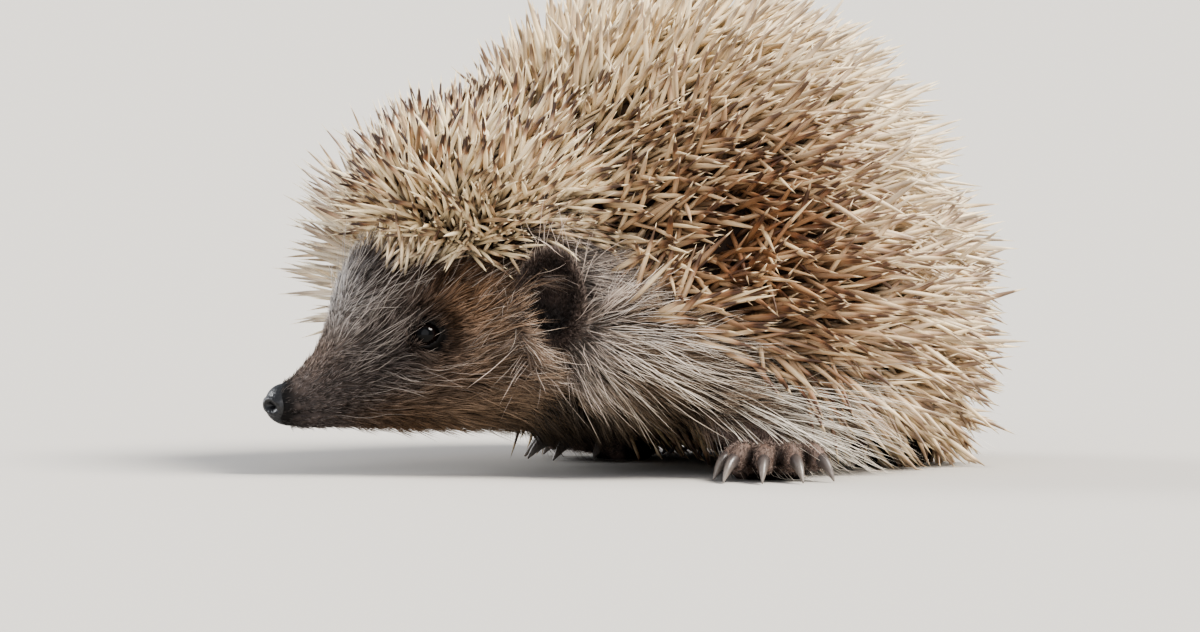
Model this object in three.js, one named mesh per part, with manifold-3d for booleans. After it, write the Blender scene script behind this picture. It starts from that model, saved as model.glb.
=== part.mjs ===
// European hedgehog, life size, crouched on four paws with its head turned to its right.
// Millimetres, +Z up. The animal faces -Y, its left side is +X, and the floor is z = 0.
// The trunk's solid is the envelope of the spine tips, and the other solids of flesh are
// the envelope of the fur.
import * as THREE from "three";
import { mergeVertices } from "three/addons/utils/BufferGeometryUtils.js";
import Module from "manifold-3d";

const wasm = await Module();
wasm.setup();

// ---- driving dimensions ----
const gap = 0.3; // clearance left between neighbouring solids
const bodyWidth = 122; // across the spine tips at the flanks
const backHeight = 103; // floor to the spine tips at the top of the back
const headLength = 54.6; // ears to nose tip
const pawHeight = 6.5;
const radians = THREE.MathUtils.degToRad;

// The head turns to the animal's right of straight ahead.
const headTurn = radians(22);
const headOrigin = new THREE.Vector3(7.5, -31.4, 0); // floor point below the middle of the ears
const headForward = new THREE.Vector3(-Math.sin(headTurn), -Math.cos(headTurn), 0);
const headLeft = new THREE.Vector3(Math.cos(headTurn), -Math.sin(headTurn), 0);

// A point given along the head, to its left and above the floor.
function onHead(along, left, height) {
  return headOrigin
    .clone()
    .addScaledVector(headForward, along)
    .addScaledVector(headLeft, left)
    .setZ(height);
}

// ---- solids from geometry and back ----
function mergedPositions(geometry) {
  const bare = geometry.clone();
  bare.deleteAttribute("normal");
  bare.deleteAttribute("uv");
  return mergeVertices(bare, 1e-4);
}

function solidOf(geometry) {
  const merged = mergedPositions(geometry);
  return new wasm.Manifold(
    new wasm.Mesh({
      numProp: 3,
      vertProperties: new Float32Array(merged.attributes.position.array),
      triVerts: new Uint32Array(merged.index.array),
    }),
  );
}

function geometryOf(solid) {
  const mesh = solid.getMesh();
  const positions = new Float32Array(mesh.numVert * 3);
  for (let i = 0; i < mesh.numVert; i++) {
    const start = i * mesh.numProp;
    positions.set(mesh.vertProperties.subarray(start, start + 3), i * 3);
  }
  const geometry = new THREE.BufferGeometry();
  geometry.setAttribute("position", new THREE.BufferAttribute(positions, 3));
  geometry.setIndex(new THREE.BufferAttribute(mesh.triVerts, 1));
  geometry.computeVertexNormals();
  return geometry;
}

// ---- shape functions ----
// An ellipsoid as a solid: its centre, its three radii, their turn, how far it is swollen, and
// its number of facets around.
function ellipsoid(centre, radii, turn, extra, facets) {
  const geometry = new THREE.SphereGeometry(1, facets, Math.round(facets * 0.7));
  const size = new THREE.Vector3(...radii).addScalar(extra);
  geometry.applyMatrix4(
    new THREE.Matrix4().compose(centre, new THREE.Quaternion().setFromEuler(turn), size),
  );
  return solidOf(geometry);
}

// Smooth interpolation of a list of numbers, spaced evenly over 0 to 1.
function smoothList(values, share) {
  const last = values.length - 1;
  const at = THREE.MathUtils.clamp(share, 0, 1) * last;
  const i = Math.min(Math.floor(at), last - 1);
  const f = at - i;
  const before = values[Math.max(i - 1, 0)];
  const after = values[Math.min(i + 2, last)];
  const [a, b] = [values[i], values[i + 1]];
  return (
    a +
    0.5 * f * (b - before + f * (2 * before - 5 * a + 4 * b - after + f * (3 * (a - b) + after - before)))
  );
}

// A tube of changing elliptical section along a path of stations, closed by a point at each end.
// Each station is { at, across, up }: its centre and the section's half width and half height.
// The sections stand square to the path, or upright.
function loft(stations, sideways, sides, steps, extra = 0, upright = false) {
  const pick = (name, share) => smoothList(stations.map((s) => s[name]), share);
  const centre = (share) =>
    new THREE.Vector3(
      ...["x", "y", "z"].map((axis) => smoothList(stations.map((s) => s.at[axis]), share)),
    );
  const positions = [];
  for (let i = 0; i <= steps; i++) {
    const share = i / steps;
    const middle = centre(share);
    const ahead = centre(share + 0.02)
      .sub(centre(share - 0.02))
      .normalize();
    const tilted = new THREE.Vector3().crossVectors(ahead, sideways).normalize();
    const up = upright ? new THREE.Vector3(0, 0, 1) : tilted;
    const side = upright ? sideways : new THREE.Vector3().crossVectors(up, ahead).normalize();
    const across = Math.max(pick("across", share), 0.2) + extra;
    const high = Math.max(pick("up", share), 0.2) + extra;
    for (let j = 0; j < sides; j++) {
      const angle = (j / sides) * 2 * Math.PI;
      const p = middle
        .clone()
        .addScaledVector(side, across * Math.cos(angle))
        .addScaledVector(up, high * Math.sin(angle));
      positions.push(p.x, p.y, p.z);
    }
  }
  const ends = [centre(0), centre(1)];
  ends[0].addScaledVector(centre(0).sub(centre(0.02)).normalize(), extra);
  ends[1].addScaledVector(centre(1).sub(centre(0.98)).normalize(), extra);
  ends.forEach((p) => positions.push(p.x, p.y, p.z));
  const index = [];
  const first = (steps + 1) * sides;
  for (let j = 0; j < sides; j++) {
    const next = (j + 1) % sides;
    for (let i = 0; i < steps; i++) {
      const [a, b] = [i * sides + j, i * sides + next];
      const [c, d] = [a + sides, b + sides];
      index.push(a, b, d, a, d, c);
    }
    index.push(first, next, j);
    index.push(first + 1, steps * sides + j, steps * sides + next);
  }
  const geometry = new THREE.BufferGeometry();
  geometry.setAttribute("position", new THREE.Float32BufferAttribute(positions, 3));
  geometry.setIndex(index);
  const solid = solidOf(geometry);
  if (solid.volume() > 0) return solid;
  for (let i = 0; i < index.length; i += 3) {
    [index[i + 1], index[i + 2]] = [index[i + 2], index[i + 1]];
  }
  geometry.setIndex(index);
  return solidOf(geometry);
}

// ---- trunk ----
// Rounded masses that share the point trunkCentre. The trunk's surface lies, in each
// direction from that point, at the smooth maximum of their distances.
const trunkCentre = new THREE.Vector3(0, -8, 46);
const trunkMasses = [
  // the domed back
  { at: [0, 7, 46], radii: [57, 60, backHeight - 48], below: 40, power: 1.8, taper: 0.42 },
  // the haunches and flanks, whose spines hang down to the floor
  { at: [0, 13, 30], radii: [bodyWidth / 2 - 2, 60, 34], below: 31, power: 3.2, taper: 0.42 },
  // the crown, drawn forward over the brow
  { at: [1, -34, 54], radii: [33, 35, 26], below: 21, power: 2.2, taper: 0 },
  // the right side of the hood, bunched up by the turned head
  { at: [-23, -24, 45], radii: [33, 40, 30], below: 35, power: 2.3, taper: 0 },
  // the left shoulder under its skirt of long hair
  { at: [17, -14, 23], radii: [30, 30, 22], below: 18, power: 3, taper: 0 },
];
const blend = 3.2; // how softly the masses run together
const bellyTilt = 0.045; // the coat's lower edge rises towards the chest
const bellyEdge = 4.5; // its height below the middle of the body

// The distance from trunkCentre to a mass's surface along a direction, by bisection.
function reach(mass, direction) {
  const inside = (distance) => {
    const p = trunkCentre.clone().addScaledVector(direction, distance);
    const [x, y, z] = p.toArray().map((value, axis) => value - mass.at[axis]);
    const [wide, long, high] = mass.radii;
    const forward = THREE.MathUtils.clamp(-y / long, 0, 1);
    const flat = Math.hypot(x / (wide * (1 - mass.taper * forward)), y / long);
    return flat ** mass.power + Math.abs(z / (z < 0 ? mass.below : high)) ** mass.power < 1;
  };
  let [low, high] = [0, 140];
  for (let i = 0; i < 24; i++) {
    const middle = (low + high) / 2;
    if (inside(middle)) low = middle;
    else high = middle;
  }
  return low;
}

const trunkFineness = 8; // cuts along each edge of the icosahedron
function trunkEnvelope(extra = 0) {
  const geometry = mergedPositions(new THREE.IcosahedronGeometry(1, trunkFineness));
  const position = geometry.attributes.position;
  const direction = new THREE.Vector3();
  for (let i = 0; i < position.count; i++) {
    direction.fromBufferAttribute(position, i).normalize();
    const reaches = trunkMasses.map((mass) => reach(mass, direction));
    const total = reaches.reduce((sum, r) => sum + Math.exp(r / blend), 0);
    const distance = blend * Math.log(total) + extra;
    const p = trunkCentre.clone().addScaledVector(direction, distance);
    position.setXYZ(i, p.x, p.y, p.z);
  }
  return solidOf(geometry);
}

// The arch under the belly, between the low rims of the flanks.
const belly = { at: [0, 2, 2.5], radii: [42, 56, 9] };
function bellyHollow(shrink = 0) {
  return ellipsoid(new THREE.Vector3(...belly.at), belly.radii, new THREE.Euler(), -shrink, 16);
}

// ---- head and neck ----
// Sections from behind the ears to the nose: how far along, the heights of the chin and of
// the profile above it, and the half width.
const headSections = [
  [-16, 9, 50, 23],
  [-4, 8.5, 48, 22],
  [8, 8.5, 48, 20],
  [20, 8.5, 48.5, 16.5],
  [31, 8.5, 48, 13],
  [38.5, 8.5, 44, 10.5],
  [43.5, 8.5, 28, 8],
  [48.6, 8.7, 21, 6.2],
  [headLength - 1.5, 9.6, 18, 4.2],
];

function headLoft(extra = 0) {
  const stations = headSections.map(([along, low, high, across]) => ({
    at: onHead(along, 0, (low + high) / 2),
    across,
    up: (high - low) / 2,
  }));
  return loft(stations, headLeft, 16, 14, extra, true);
}

const neckCut = 3; // along the head, where the neck begins
function alongHead(solid, from, to) {
  const base = headForward.dot(headOrigin);
  return solid
    .trimByPlane(headForward.toArray(), base + from)
    .trimByPlane(headForward.clone().negate().toArray(), -(base + to));
}

// ---- nose, eyes and ears ----
const straight = new THREE.Euler(0, 0, -headTurn); // in line with the head
const nose = { along: headLength - 3.2, height: 14.2, radii: [4.3, 4.4, 4.4] };
function nosePad(extra = 0) {
  return ellipsoid(onHead(nose.along, 0, nose.height), nose.radii, straight, extra, 11);
}

const eye = { along: 24.5, left: 12.6, height: 28.5, radii: [3.2, 3.2, 3.2] };
function eyeball(side, extra = 0) {
  return ellipsoid(onHead(eye.along, side * eye.left, eye.height), eye.radii, straight, extra, 9);
}

// The pinna is a rounded shell with a cup that opens outwards. Before it is turned, its
// width lies along X and it opens towards -Y.
const pinna = {
  along: 0.5, left: 19.5, height: 35.8, radii: [7.2, 3.6, 10.4],
  cup: [0, -3.4, 0.3], cupRadii: [5.6, 4.4, 8.2],
  room: [0, -7, 0], roomRadii: [9, 9, 12],
};
const earLean = radians(9);
const earOpening = radians(75); // from straight ahead to the side
const earAt = (side) => onHead(pinna.along, side * pinna.left, pinna.height);
const earTurn = (side) => new THREE.Euler(0, side * earLean, -headTurn + side * earOpening);

// A hollow beside the ear, given in the ear's own directions.
function earHollow(side, offset, radii, facets) {
  const centre = new THREE.Vector3(...offset).applyEuler(earTurn(side)).add(earAt(side));
  return ellipsoid(centre, radii, earTurn(side), 0, facets);
}

const earBlank = (side, extra) => ellipsoid(earAt(side), pinna.radii, earTurn(side), extra, 12);
const ear = (side) => earBlank(side, 0).subtract(earHollow(side, pinna.cup, pinna.cupRadii, 11));
// The open space in front of an ear, which the crown and the skirt leave free.
const earRoom = (side) => earHollow(side, pinna.room, pinna.roomRadii, 8);

// The open space inside the hood, beside the right cheek, eye and ear.
const hood = { along: 24, left: -19, height: 23, radii: [12, 34, 19] };
function hoodRoom() {
  return ellipsoid(onHead(hood.along, hood.left, hood.height), hood.radii, straight, 0, 12);
}

// ---- legs ----
// Each paw: the middle of its sole, the heading of its toes from straight ahead towards the
// animal's left, the joint where the leg leaves the body, and its sizes.
const legs = {
  foreleg_left: {
    sole: [50.1, -2.8], heading: 60, top: [33, -12, 24], limb: 8, length: 18, width: 19, claw: 6.5,
  },
  foreleg_right: {
    sole: [-27, 5], heading: -14, top: [-26, 12, 24], limb: 8, length: 18, width: 18, claw: 6.5,
  },
  hindleg_left: {
    sole: [21.5, 37], heading: 8, top: [24, 43, 22], limb: 10, length: 32, width: 15, claw: 6,
  },
  hindleg_right: {
    sole: [-21.5, 37], heading: -8, top: [-24, 43, 22], limb: 10, length: 32, width: 15, claw: 6,
  },
};
const toes = 5;
const toeRadius = 2.6;
const toeLength = 9; // of the middle toe
const toeHeight = 3.7; // of a toe's end above the floor
const toeSpread = radians(38); // of the outer toes from the middle one
// How far each toe stands from the foot's midline, from the inner toe to the outer one.
const toePlaces = [-1, -0.68, -0.12, 0.44, 1];
const innerToe = { size: 0.72, back: 2.5 }; // the inner toe is smaller and set further back
// A toe from the foot to its end: its radius, and how high it arches.
const toeShape = [
  { radius: 1, arch: 0 },
  { radius: 1.05, arch: 1.4 },
  { radius: 0.95, arch: 1.1 },
  { radius: 0.6, arch: 0 },
];

function pawFrame(leg) {
  const angle = radians(leg.heading);
  const forward = new THREE.Vector3(Math.sin(angle), -Math.cos(angle), 0);
  const left = new THREE.Vector3(Math.cos(angle), Math.sin(angle), 0);
  return { sole: new THREE.Vector3(leg.sole[0], leg.sole[1], 0), forward, left };
}

const upwards = new THREE.Vector3(0, 0, 1);
const across = (direction) => new THREE.Vector3().crossVectors(direction, upwards);
// Where toe number i (0 to 4, right to left) stands: -1 at the foot's right edge, 1 at its left.
const spreadOf = (leg, i) => (leg.sole[0] > 0 ? toePlaces[i] : -toePlaces[toes - 1 - i]);
const isInner = (leg, i) => spreadOf(leg, i) === -Math.sign(leg.sole[0]);

// Where toe number i starts, ends and points, and its radius.
function toeLine(leg, i) {
  const { sole, forward, left } = pawFrame(leg);
  const spread = spreadOf(leg, i);
  const { size, back } = isInner(leg, i) ? innerToe : { size: 1, back: 0 };
  const direction = forward.clone().applyAxisAngle(upwards, toeSpread * spread);
  const start = sole
    .clone()
    .addScaledVector(forward, leg.length * (0.22 - 0.12 * spread * spread) - back)
    .addScaledVector(left, spread * (leg.width / 2 - toeRadius) * 0.8)
    .setZ(pawHeight / 2);
  const length = toeLength * size * (1 - 0.22 * Math.abs(spread));
  const tip = start.clone().addScaledVector(direction, length).setZ(toeHeight);
  return { start, tip, direction, radius: toeRadius * size };
}

function toe(leg, i, extra) {
  const { start, tip, direction, radius } = toeLine(leg, i);
  const stations = toeShape.map((shape, k) => ({
    at: start
      .clone()
      .lerp(tip, k / (toeShape.length - 1))
      .addScaledVector(upwards, shape.arch),
    across: radius * shape.radius,
    up: radius * shape.radius,
  }));
  return loft(stations, across(direction), 6, 2, extra);
}

// The limb runs from inside the body to the wrist or heel, above a flat oval foot.
function legSolid(leg, extra = 0) {
  const { sole, forward } = pawFrame(leg);
  const top = new THREE.Vector3(...leg.top);
  const wrist = sole.clone().addScaledVector(forward, -leg.length * 0.2).setZ(pawHeight * 0.7);
  const middle = top.clone().lerp(wrist, 0.55);
  const limb = loft(
    [
      { at: top, across: leg.limb, up: leg.limb },
      { at: middle, across: leg.limb * 0.85, up: leg.limb * 0.85 },
      { at: wrist, across: leg.limb * 0.62, up: leg.limb * 0.55 },
    ],
    across(forward),
    8,
    3,
    extra,
  );
  const footAt = sole.clone().addScaledVector(forward, -leg.length * 0.12).setZ(pawHeight * 0.42);
  const footRadii = [leg.width / 2, leg.length / 2, pawHeight * 0.62];
  const footTurn = new THREE.Euler(0, 0, radians(leg.heading));
  let whole = limb.add(ellipsoid(footAt, footRadii, footTurn, extra, 10));
  for (let i = 0; i < toes; i++) whole = whole.add(toe(leg, i, extra));
  return whole.trimByPlane([0, 0, 1], 0);
}

// A claw grows from the toe's end, arches forwards and comes down to just above the floor.
const clawRoot = 0.8; // how deep it sits in the toe
const clawShape = [
  { rise: 0.8, radius: 1.45 },
  { rise: 0.8, radius: 1.3 },
  { rise: -0.7, radius: 0.9 },
  { rise: -3.2, radius: 0.25 },
];
const clawFlatness = 0.8; // its width against its height
const outerClaw = 0.85; // the first and last claws against the others
function clawSolid(leg, i, extra = 0) {
  const { tip, direction } = toeLine(leg, i);
  const size = leg.claw * (Math.abs(spreadOf(leg, i)) === 1 ? outerClaw : 1);
  const stations = clawShape.map(({ rise, radius }, k) => ({
    at: tip
      .clone()
      .addScaledVector(direction, (size * k) / (clawShape.length - 1) - clawRoot)
      .addScaledVector(upwards, rise),
    across: radius * clawFlatness,
    up: radius,
  }));
  return loft(stations, across(direction), 6, 3, extra);
}

// ---- tail ----
const tailShape = [
  { at: [0, 52, 16], radius: 4.2 },
  { at: [0.5, 60, 11], radius: 3.4 },
  { at: [1.5, 66.5, 7], radius: 2.6 },
  { at: [3, 72, 4.2], radius: 1.4 },
];
function tail(extra = 0) {
  const stations = tailShape.map(({ at, radius }) => ({
    at: new THREE.Vector3(...at),
    across: radius,
    up: radius,
  }));
  return loft(stations, new THREE.Vector3(1, 0, 0), 8, 6, extra);
}

// ---- assembly ----
function material(colour, roughness, metalness = 0) {
  return new THREE.MeshStandardMaterial({ color: colour, roughness, metalness });
}
const spineFinish = material(0xb59a72, 0.6);
const furFinish = material(0x7a6450, 0.9);
const earFinish = material(0x4a3a30, 0.85);
const noseFinish = material(0x1c1a1a, 0.3);
const eyeFinish = material(0x0a0808, 0.08);
const clawFinish = material(0x8a7c72, 0.4);

const hedgehog = new THREE.Group();
function place(name, solid, finish) {
  // A cut can leave loose slivers: the piece is its largest body.
  const [largest] = solid.decompose().sort((a, b) => b.volume() - a.volume());
  const mesh = new THREE.Mesh(geometryOf(largest), finish);
  mesh.name = name;
  hedgehog.add(mesh);
}

const sides = { left: 1, right: -1 };
const envelope = trunkEnvelope();
const envelopeRoom = trunkEnvelope(gap).subtract(bellyHollow(gap));
const headAndNeck = headLoft();
const headRoom = headLoft(gap);

// The trunk keeps clear of the head, the ears and the tail.
let trunk = envelope.subtract(bellyHollow()).subtract(hoodRoom()).subtract(headRoom);
for (const side of Object.values(sides)) {
  trunk = trunk.subtract(earRoom(side)).subtract(earBlank(side, gap));
}
trunk = trunk.subtract(tail(gap)).trimByPlane([0, bellyTilt, 1], bellyEdge);
place("trunk", trunk, spineFinish);

let head = alongHead(headAndNeck, neckCut + gap / 2, headLength).subtract(nosePad(gap));
let neck = alongHead(headAndNeck, -headLength, neckCut - gap / 2);
for (const side of Object.values(sides)) {
  head = head.subtract(eyeball(side, gap)).subtract(earBlank(side, gap));
  neck = neck.subtract(earBlank(side, gap));
}
place("head", head, furFinish);
place("neck", neck, furFinish);
place("nose", nosePad(), noseFinish);
for (const [name, side] of Object.entries(sides)) {
  place("eye_" + name, eyeball(side), eyeFinish);
  place("ear_" + name, ear(side), earFinish);
}

const bodyRoom = envelopeRoom.add(headRoom);
for (const [name, leg] of Object.entries(legs)) {
  let limb = legSolid(leg).subtract(bodyRoom);
  for (let i = 0; i < toes; i++) {
    limb = limb.subtract(clawSolid(leg, i, gap));
    place("claw_" + name + "_" + (i + 1), clawSolid(leg, i).subtract(bodyRoom), clawFinish);
  }
  place(name, limb, furFinish);
}
place("tail", tail(), furFinish);

// The origin is the point of the floor below the middle of the bounding box.
const box = new THREE.Box3().setFromObject(hedgehog);
hedgehog.position.set(-(box.min.x + box.max.x) / 2, -(box.min.y + box.max.y) / 2, -box.min.z);

export default hedgehog;
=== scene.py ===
import math

import bmesh
import bpy
import numpy as np
from mathutils import Matrix, Vector


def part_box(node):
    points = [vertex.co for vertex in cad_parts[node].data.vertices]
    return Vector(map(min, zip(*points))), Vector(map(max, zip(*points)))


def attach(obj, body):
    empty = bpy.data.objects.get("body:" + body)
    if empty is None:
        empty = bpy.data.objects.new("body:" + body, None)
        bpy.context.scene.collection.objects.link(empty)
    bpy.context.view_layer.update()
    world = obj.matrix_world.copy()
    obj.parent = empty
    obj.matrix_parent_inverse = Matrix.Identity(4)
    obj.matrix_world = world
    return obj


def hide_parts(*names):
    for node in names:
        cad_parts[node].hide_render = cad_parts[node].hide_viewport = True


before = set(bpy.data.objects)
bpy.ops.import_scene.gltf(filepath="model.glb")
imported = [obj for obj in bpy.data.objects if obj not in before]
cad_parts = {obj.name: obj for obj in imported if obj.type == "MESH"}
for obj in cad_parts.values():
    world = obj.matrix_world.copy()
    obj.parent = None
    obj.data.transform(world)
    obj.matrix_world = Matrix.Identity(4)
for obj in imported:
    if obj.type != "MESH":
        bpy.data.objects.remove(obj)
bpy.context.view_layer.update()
mm = 0.001  # the shapes below are worked out in millimetres


print("frame loaded:", len(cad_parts), "nodes")


# ---- directions and small sums ----
def unit(vectors):
    vectors = np.asarray(vectors, float)
    return vectors / np.maximum(np.linalg.norm(vectors, axis=-1, keepdims=True), 1e-9)


def ramp(values, start, end):  # 0 before start, 1 past end, smooth between
    share = np.clip((values - start) / (end - start), 0, 1)
    return share * share * (3 - 2 * share)


def bell(values, width):
    return np.exp(-((values / width) ** 2))


def middleOf(node):
    low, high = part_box(node)
    return np.array((low + high) / 2) / mm


def colour(code):  # a screen colour as linear red, green and blue
    parts = np.array([int(code[i : i + 2], 16) for i in (0, 2, 4)]) / 255
    return np.where(parts < 0.04045, parts / 12.92, ((parts + 0.055) / 1.055) ** 2.4)


head = {
    "turn": 22,  # degrees to the animal's right
    "origin": (3.2, -26.3),  # the floor below the middle of the ears
}
turn = math.radians(head["turn"])
forward = np.array([-math.sin(turn), -math.cos(turn), 0])
leftward = np.array([math.cos(turn), -math.sin(turn), 0])
upward = np.array([0, 0, 1.0])
headOrigin = np.array([*head["origin"], 0])


def onHead(along, left, height):
    return headOrigin + along * forward + left * leftward + height * upward


def headPlace(points):  # how far along the head, to its left and above the floor
    local = points - headOrigin
    return local @ forward, local @ leftward, points[:, 2]


def turned(about, angle):  # a turn about z (2) or y (1)
    return np.array(Matrix.Rotation(angle, 3, "XYZ"[about]))


# ---- shapes for the skin: each gives its points and faces ----
def smoothTrack(rows, shares):  # a smooth curve through evenly spaced rows
    rows = np.asarray(rows, float)
    last = len(rows) - 1
    at = np.clip(shares, 0, 1) * last
    i = np.minimum(at.astype(int), last - 1)
    f = (at - i)[:, None]
    a, b = rows[i], rows[i + 1]
    before, after = rows[np.maximum(i - 1, 0)], rows[np.minimum(i + 2, last)]
    bent = 2 * before - 5 * a + 4 * b - after + f * (3 * (a - b) + after - before)
    return a + 0.5 * f * (b - before + f * bent)


def tube(stations, sideways, sides=24, steps=24, upright=False, power=2.0):
    # stations: x, y, z, half width, half height
    shares = np.linspace(0, 1, steps + 1)
    rows = smoothTrack(stations, shares)
    ahead = unit(smoothTrack(stations, shares + 0.02)[:, :3] - smoothTrack(stations, shares - 0.02)[:, :3])
    if upright:
        rise = np.tile(upward, (steps + 1, 1))
        across = np.tile(sideways, (steps + 1, 1))
    else:
        rise = unit(np.cross(ahead, sideways))
        across = unit(np.cross(rise, ahead))
    angle = np.linspace(0, 2 * math.pi, sides, endpoint=False)
    wide = np.sign(np.cos(angle)) * np.abs(np.cos(angle)) ** (2 / power)
    high = np.sign(np.sin(angle)) * np.abs(np.sin(angle)) ** (2 / power)
    rings = rows[:, None, :3] + (rows[:, 3:4] * wide)[..., None] * across[:, None]
    rings = rings + (rows[:, 4:5] * high)[..., None] * rise[:, None]
    points = np.vstack([rings.reshape(-1, 3), rows[0, :3], rows[-1, :3]])
    faces = []
    first = (steps + 1) * sides
    for j in range(sides):
        k = (j + 1) % sides
        faces.append((first, k, j))
        faces.append((first + 1, steps * sides + j, steps * sides + k))
        for i in range(steps):
            faces.append((i * sides + j, i * sides + k, (i + 1) * sides + k, (i + 1) * sides + j))
    return points, faces


def ball(divisions=5):
    mesh = bmesh.new()
    bmesh.ops.create_icosphere(mesh, subdivisions=divisions, radius=1)
    points = np.array([v.co for v in mesh.verts])
    faces = [tuple(v.index for v in f.verts) for f in mesh.faces]
    mesh.free()
    return points, faces


def ellipsoid(centre, radii, angle=0.0):
    points, faces = ball(4)
    return (points * radii) @ turned(2, angle).T + centre, faces


trunk = {
    "centre": (-4.3, -2.9, 46),
    "blend": 3.2,
    "farthest": 140.0, "halvings": 22,  # of the search along each direction
    "masses": [  # place, radii, radius below it, squareness, narrowing towards the head
        ((-4.3, 11.1, 46), (44.5, 45.5, 42.5), 31, 2.0, 0.42),  # back
        ((-4.3, 16.8, 33), (48.5, 47, 22), 26, 3.0, 0.42),  # flanks
        ((-3.3, -29.5, 54), (21, 24, 13), 14, 2.2, 0),  # crown
        ((-27.3, -18.9, 46), (21, 28, 17), 22, 2.2, 0),  # under the hood
        ((12.7, -8.9, 25), (25, 24, 15), 13, 2.6, 0),  # left shoulder
    ],
}
belly = {"at": (-4.3, 7.1, 7.5), "radii": (42, 56, 8)}  # the arch under it


def trunkShape():
    directions, faces = ball(6)
    centre = np.array(trunk["centre"])
    total = 0
    for at, (wide, long, high), below, power, taper in trunk["masses"]:
        near, far = np.zeros(len(directions)), np.full(len(directions), trunk["farthest"])
        for _ in range(trunk["halvings"]):  # closes in on where the ray leaves the mass
            middle = (near + far) / 2
            x, y, z = (centre + directions * middle[:, None] - at).T
            narrow = 1 - taper * np.clip(-y / long, 0, 1)
            flat = np.hypot(x / (wide * narrow), y / long)
            tall = np.abs(z / np.where(z < 0, below, high))
            inside = flat**power + tall**power < 1
            near, far = np.where(inside, middle, near), np.where(inside, far, middle)
        total = total + np.exp(near / trunk["blend"])
    points = centre + directions * (trunk["blend"] * np.log(total))[:, None]
    wide, long, high = belly["radii"]
    x, y, _ = (points - belly["at"]).T
    arch = belly["at"][2] + high * np.sqrt(np.clip(1 - (x / wide) ** 2 - (y / long) ** 2, 0, 1))
    points[:, 2] = np.maximum(points[:, 2], arch)
    return points, faces


headSections = [  # along, low, high, half width
    (-16, 12, 48, 20),
    (-4, 11.5, 46, 19.5),
    (8, 11, 46, 18),
    (20, 10.6, 46.6, 15.2),
    (31, 10.2, 46.4, 11.8),
    (38.5, 10, 41.8, 9.0),
    (43.5, 9.9, 27, 6.9),
    (48.6, 9.7, 20.2, 5.3),
    (52.9, 10.0, 18.0, 4.3),
]


def headShape():
    stations = []
    for along, low, high, wide in headSections:
        stations.append((*onHead(along, 0, (low + high) / 2), wide, (high - low) / 2))
    return tube(stations, leftward, 48, 60, upright=True, power=2.35)


ear = {
    "along": 0.5, "left": 19.5, "height": 35.8,
    "radii": (6.8, 3.3, 10.0),
    "wall": 1.25,
    "curl": 1.4,  # how far the rim wraps forwards
    "lean": 9, "opening": 75,  # degrees out from upright, and from straight ahead
    "dish": 0.25,  # how much deeper its middle is
    "tragus": {"radii": (1.5, 1.6, 3.0), "aside": 4.6, "at": (-1.8, -6.6)},
}


def earFrame(side):
    turnY = turned(1, math.radians(side * ear["lean"]))
    turnZ = turned(2, -turn + math.radians(side * ear["opening"]))
    return onHead(ear["along"], side * ear["left"], ear["height"]), turnY @ turnZ


def earShape(side):  # a dish that opens towards -y before it is turned
    points, faces = ball(5)
    wide, deep, high = ear["radii"]
    x, y, z = (points * ear["radii"]).T
    inner = np.clip(1 - (x / (wide - ear["wall"])) ** 2 - (z / (high - ear["wall"])) ** 2, 0, 1)
    y = np.where(y < 0, (deep - ear["wall"]) * np.sqrt(inner) - ear["dish"], y)
    y = y - ear["curl"] * (np.hypot(x / wide, z / high)) ** 4
    centre, turning = earFrame(side)
    return np.stack([x, y, z], 1) @ turning.T + centre, faces


def tragusShape(side):
    centre, turning = earFrame(side)
    tragus = ear["tragus"]
    points, faces = ellipsoid((0, 0, 0), tragus["radii"])
    return (points + (-tragus["aside"] * side, *tragus["at"])) @ turning.T + centre, faces


pawHeight = 6.5
paws = {
    "foreleg_left": {
        "sole": (45.8, 2.3), "heading": 60, "top": (28.7, -6.9, 24),
        "limb": 7, "length": 18, "width": 19, "claw": 6.5,
    },
    "foreleg_right": {
        "sole": (-31.3, 10.1), "heading": -14, "top": (-30.3, 17.1, 24),
        "limb": 7, "length": 18, "width": 18, "claw": 6.5,
    },
    "hindleg_left": {
        "sole": (17.2, 42.1), "heading": 8, "top": (19.7, 48.1, 22),
        "limb": 9, "length": 32, "width": 15, "claw": 6,
    },
    "hindleg_right": {
        "sole": (-25.8, 42.1), "heading": -8, "top": (-28.3, 48.1, 22),
        "limb": 9, "length": 32, "width": 15, "claw": 6,
    },
}
toe = {
    "count": 5, "radius": 2.35, "length": 9.4, "endHeight": 3.4, "spread": 38,
    "places": (-1, -0.68, -0.12, 0.44, 1),  # across the foot, from the inner toe to the outer one
    "innerSize": 0.72, "innerBack": 2.5,
    "ahead": 0.22, "outerBack": 0.12, "outerShort": 0.22,  # shares of the foot and of the toe
    "inset": 2.6, "apart": 0.8,
    "section": (0.86, 1.08),  # half width and half height
    "shape": ((0.9, 0), (1.06, 1.6), (1.12, 1.5), (0.8, 0)),  # radius and arch, out to the end
}
leg = {  # places are shares of the foot's length back from its middle, and of its height
    "wrist": (0.2, 0.66), "middle": 0.55, "sizes": ((1.0, 1.0), (0.85, 0.85), (0.6, 0.52)),
    "foot": (0.16, 0.38), "footInset": 0.8, "footSize": (0.4, 0.5),
}


def pawFrame(paw):
    angle = math.radians(paw["heading"])
    ahead = np.array([math.sin(angle), -math.cos(angle), 0])
    left = np.array([math.cos(angle), math.sin(angle), 0])
    return np.array([*paw["sole"], 0]), ahead, left


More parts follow.
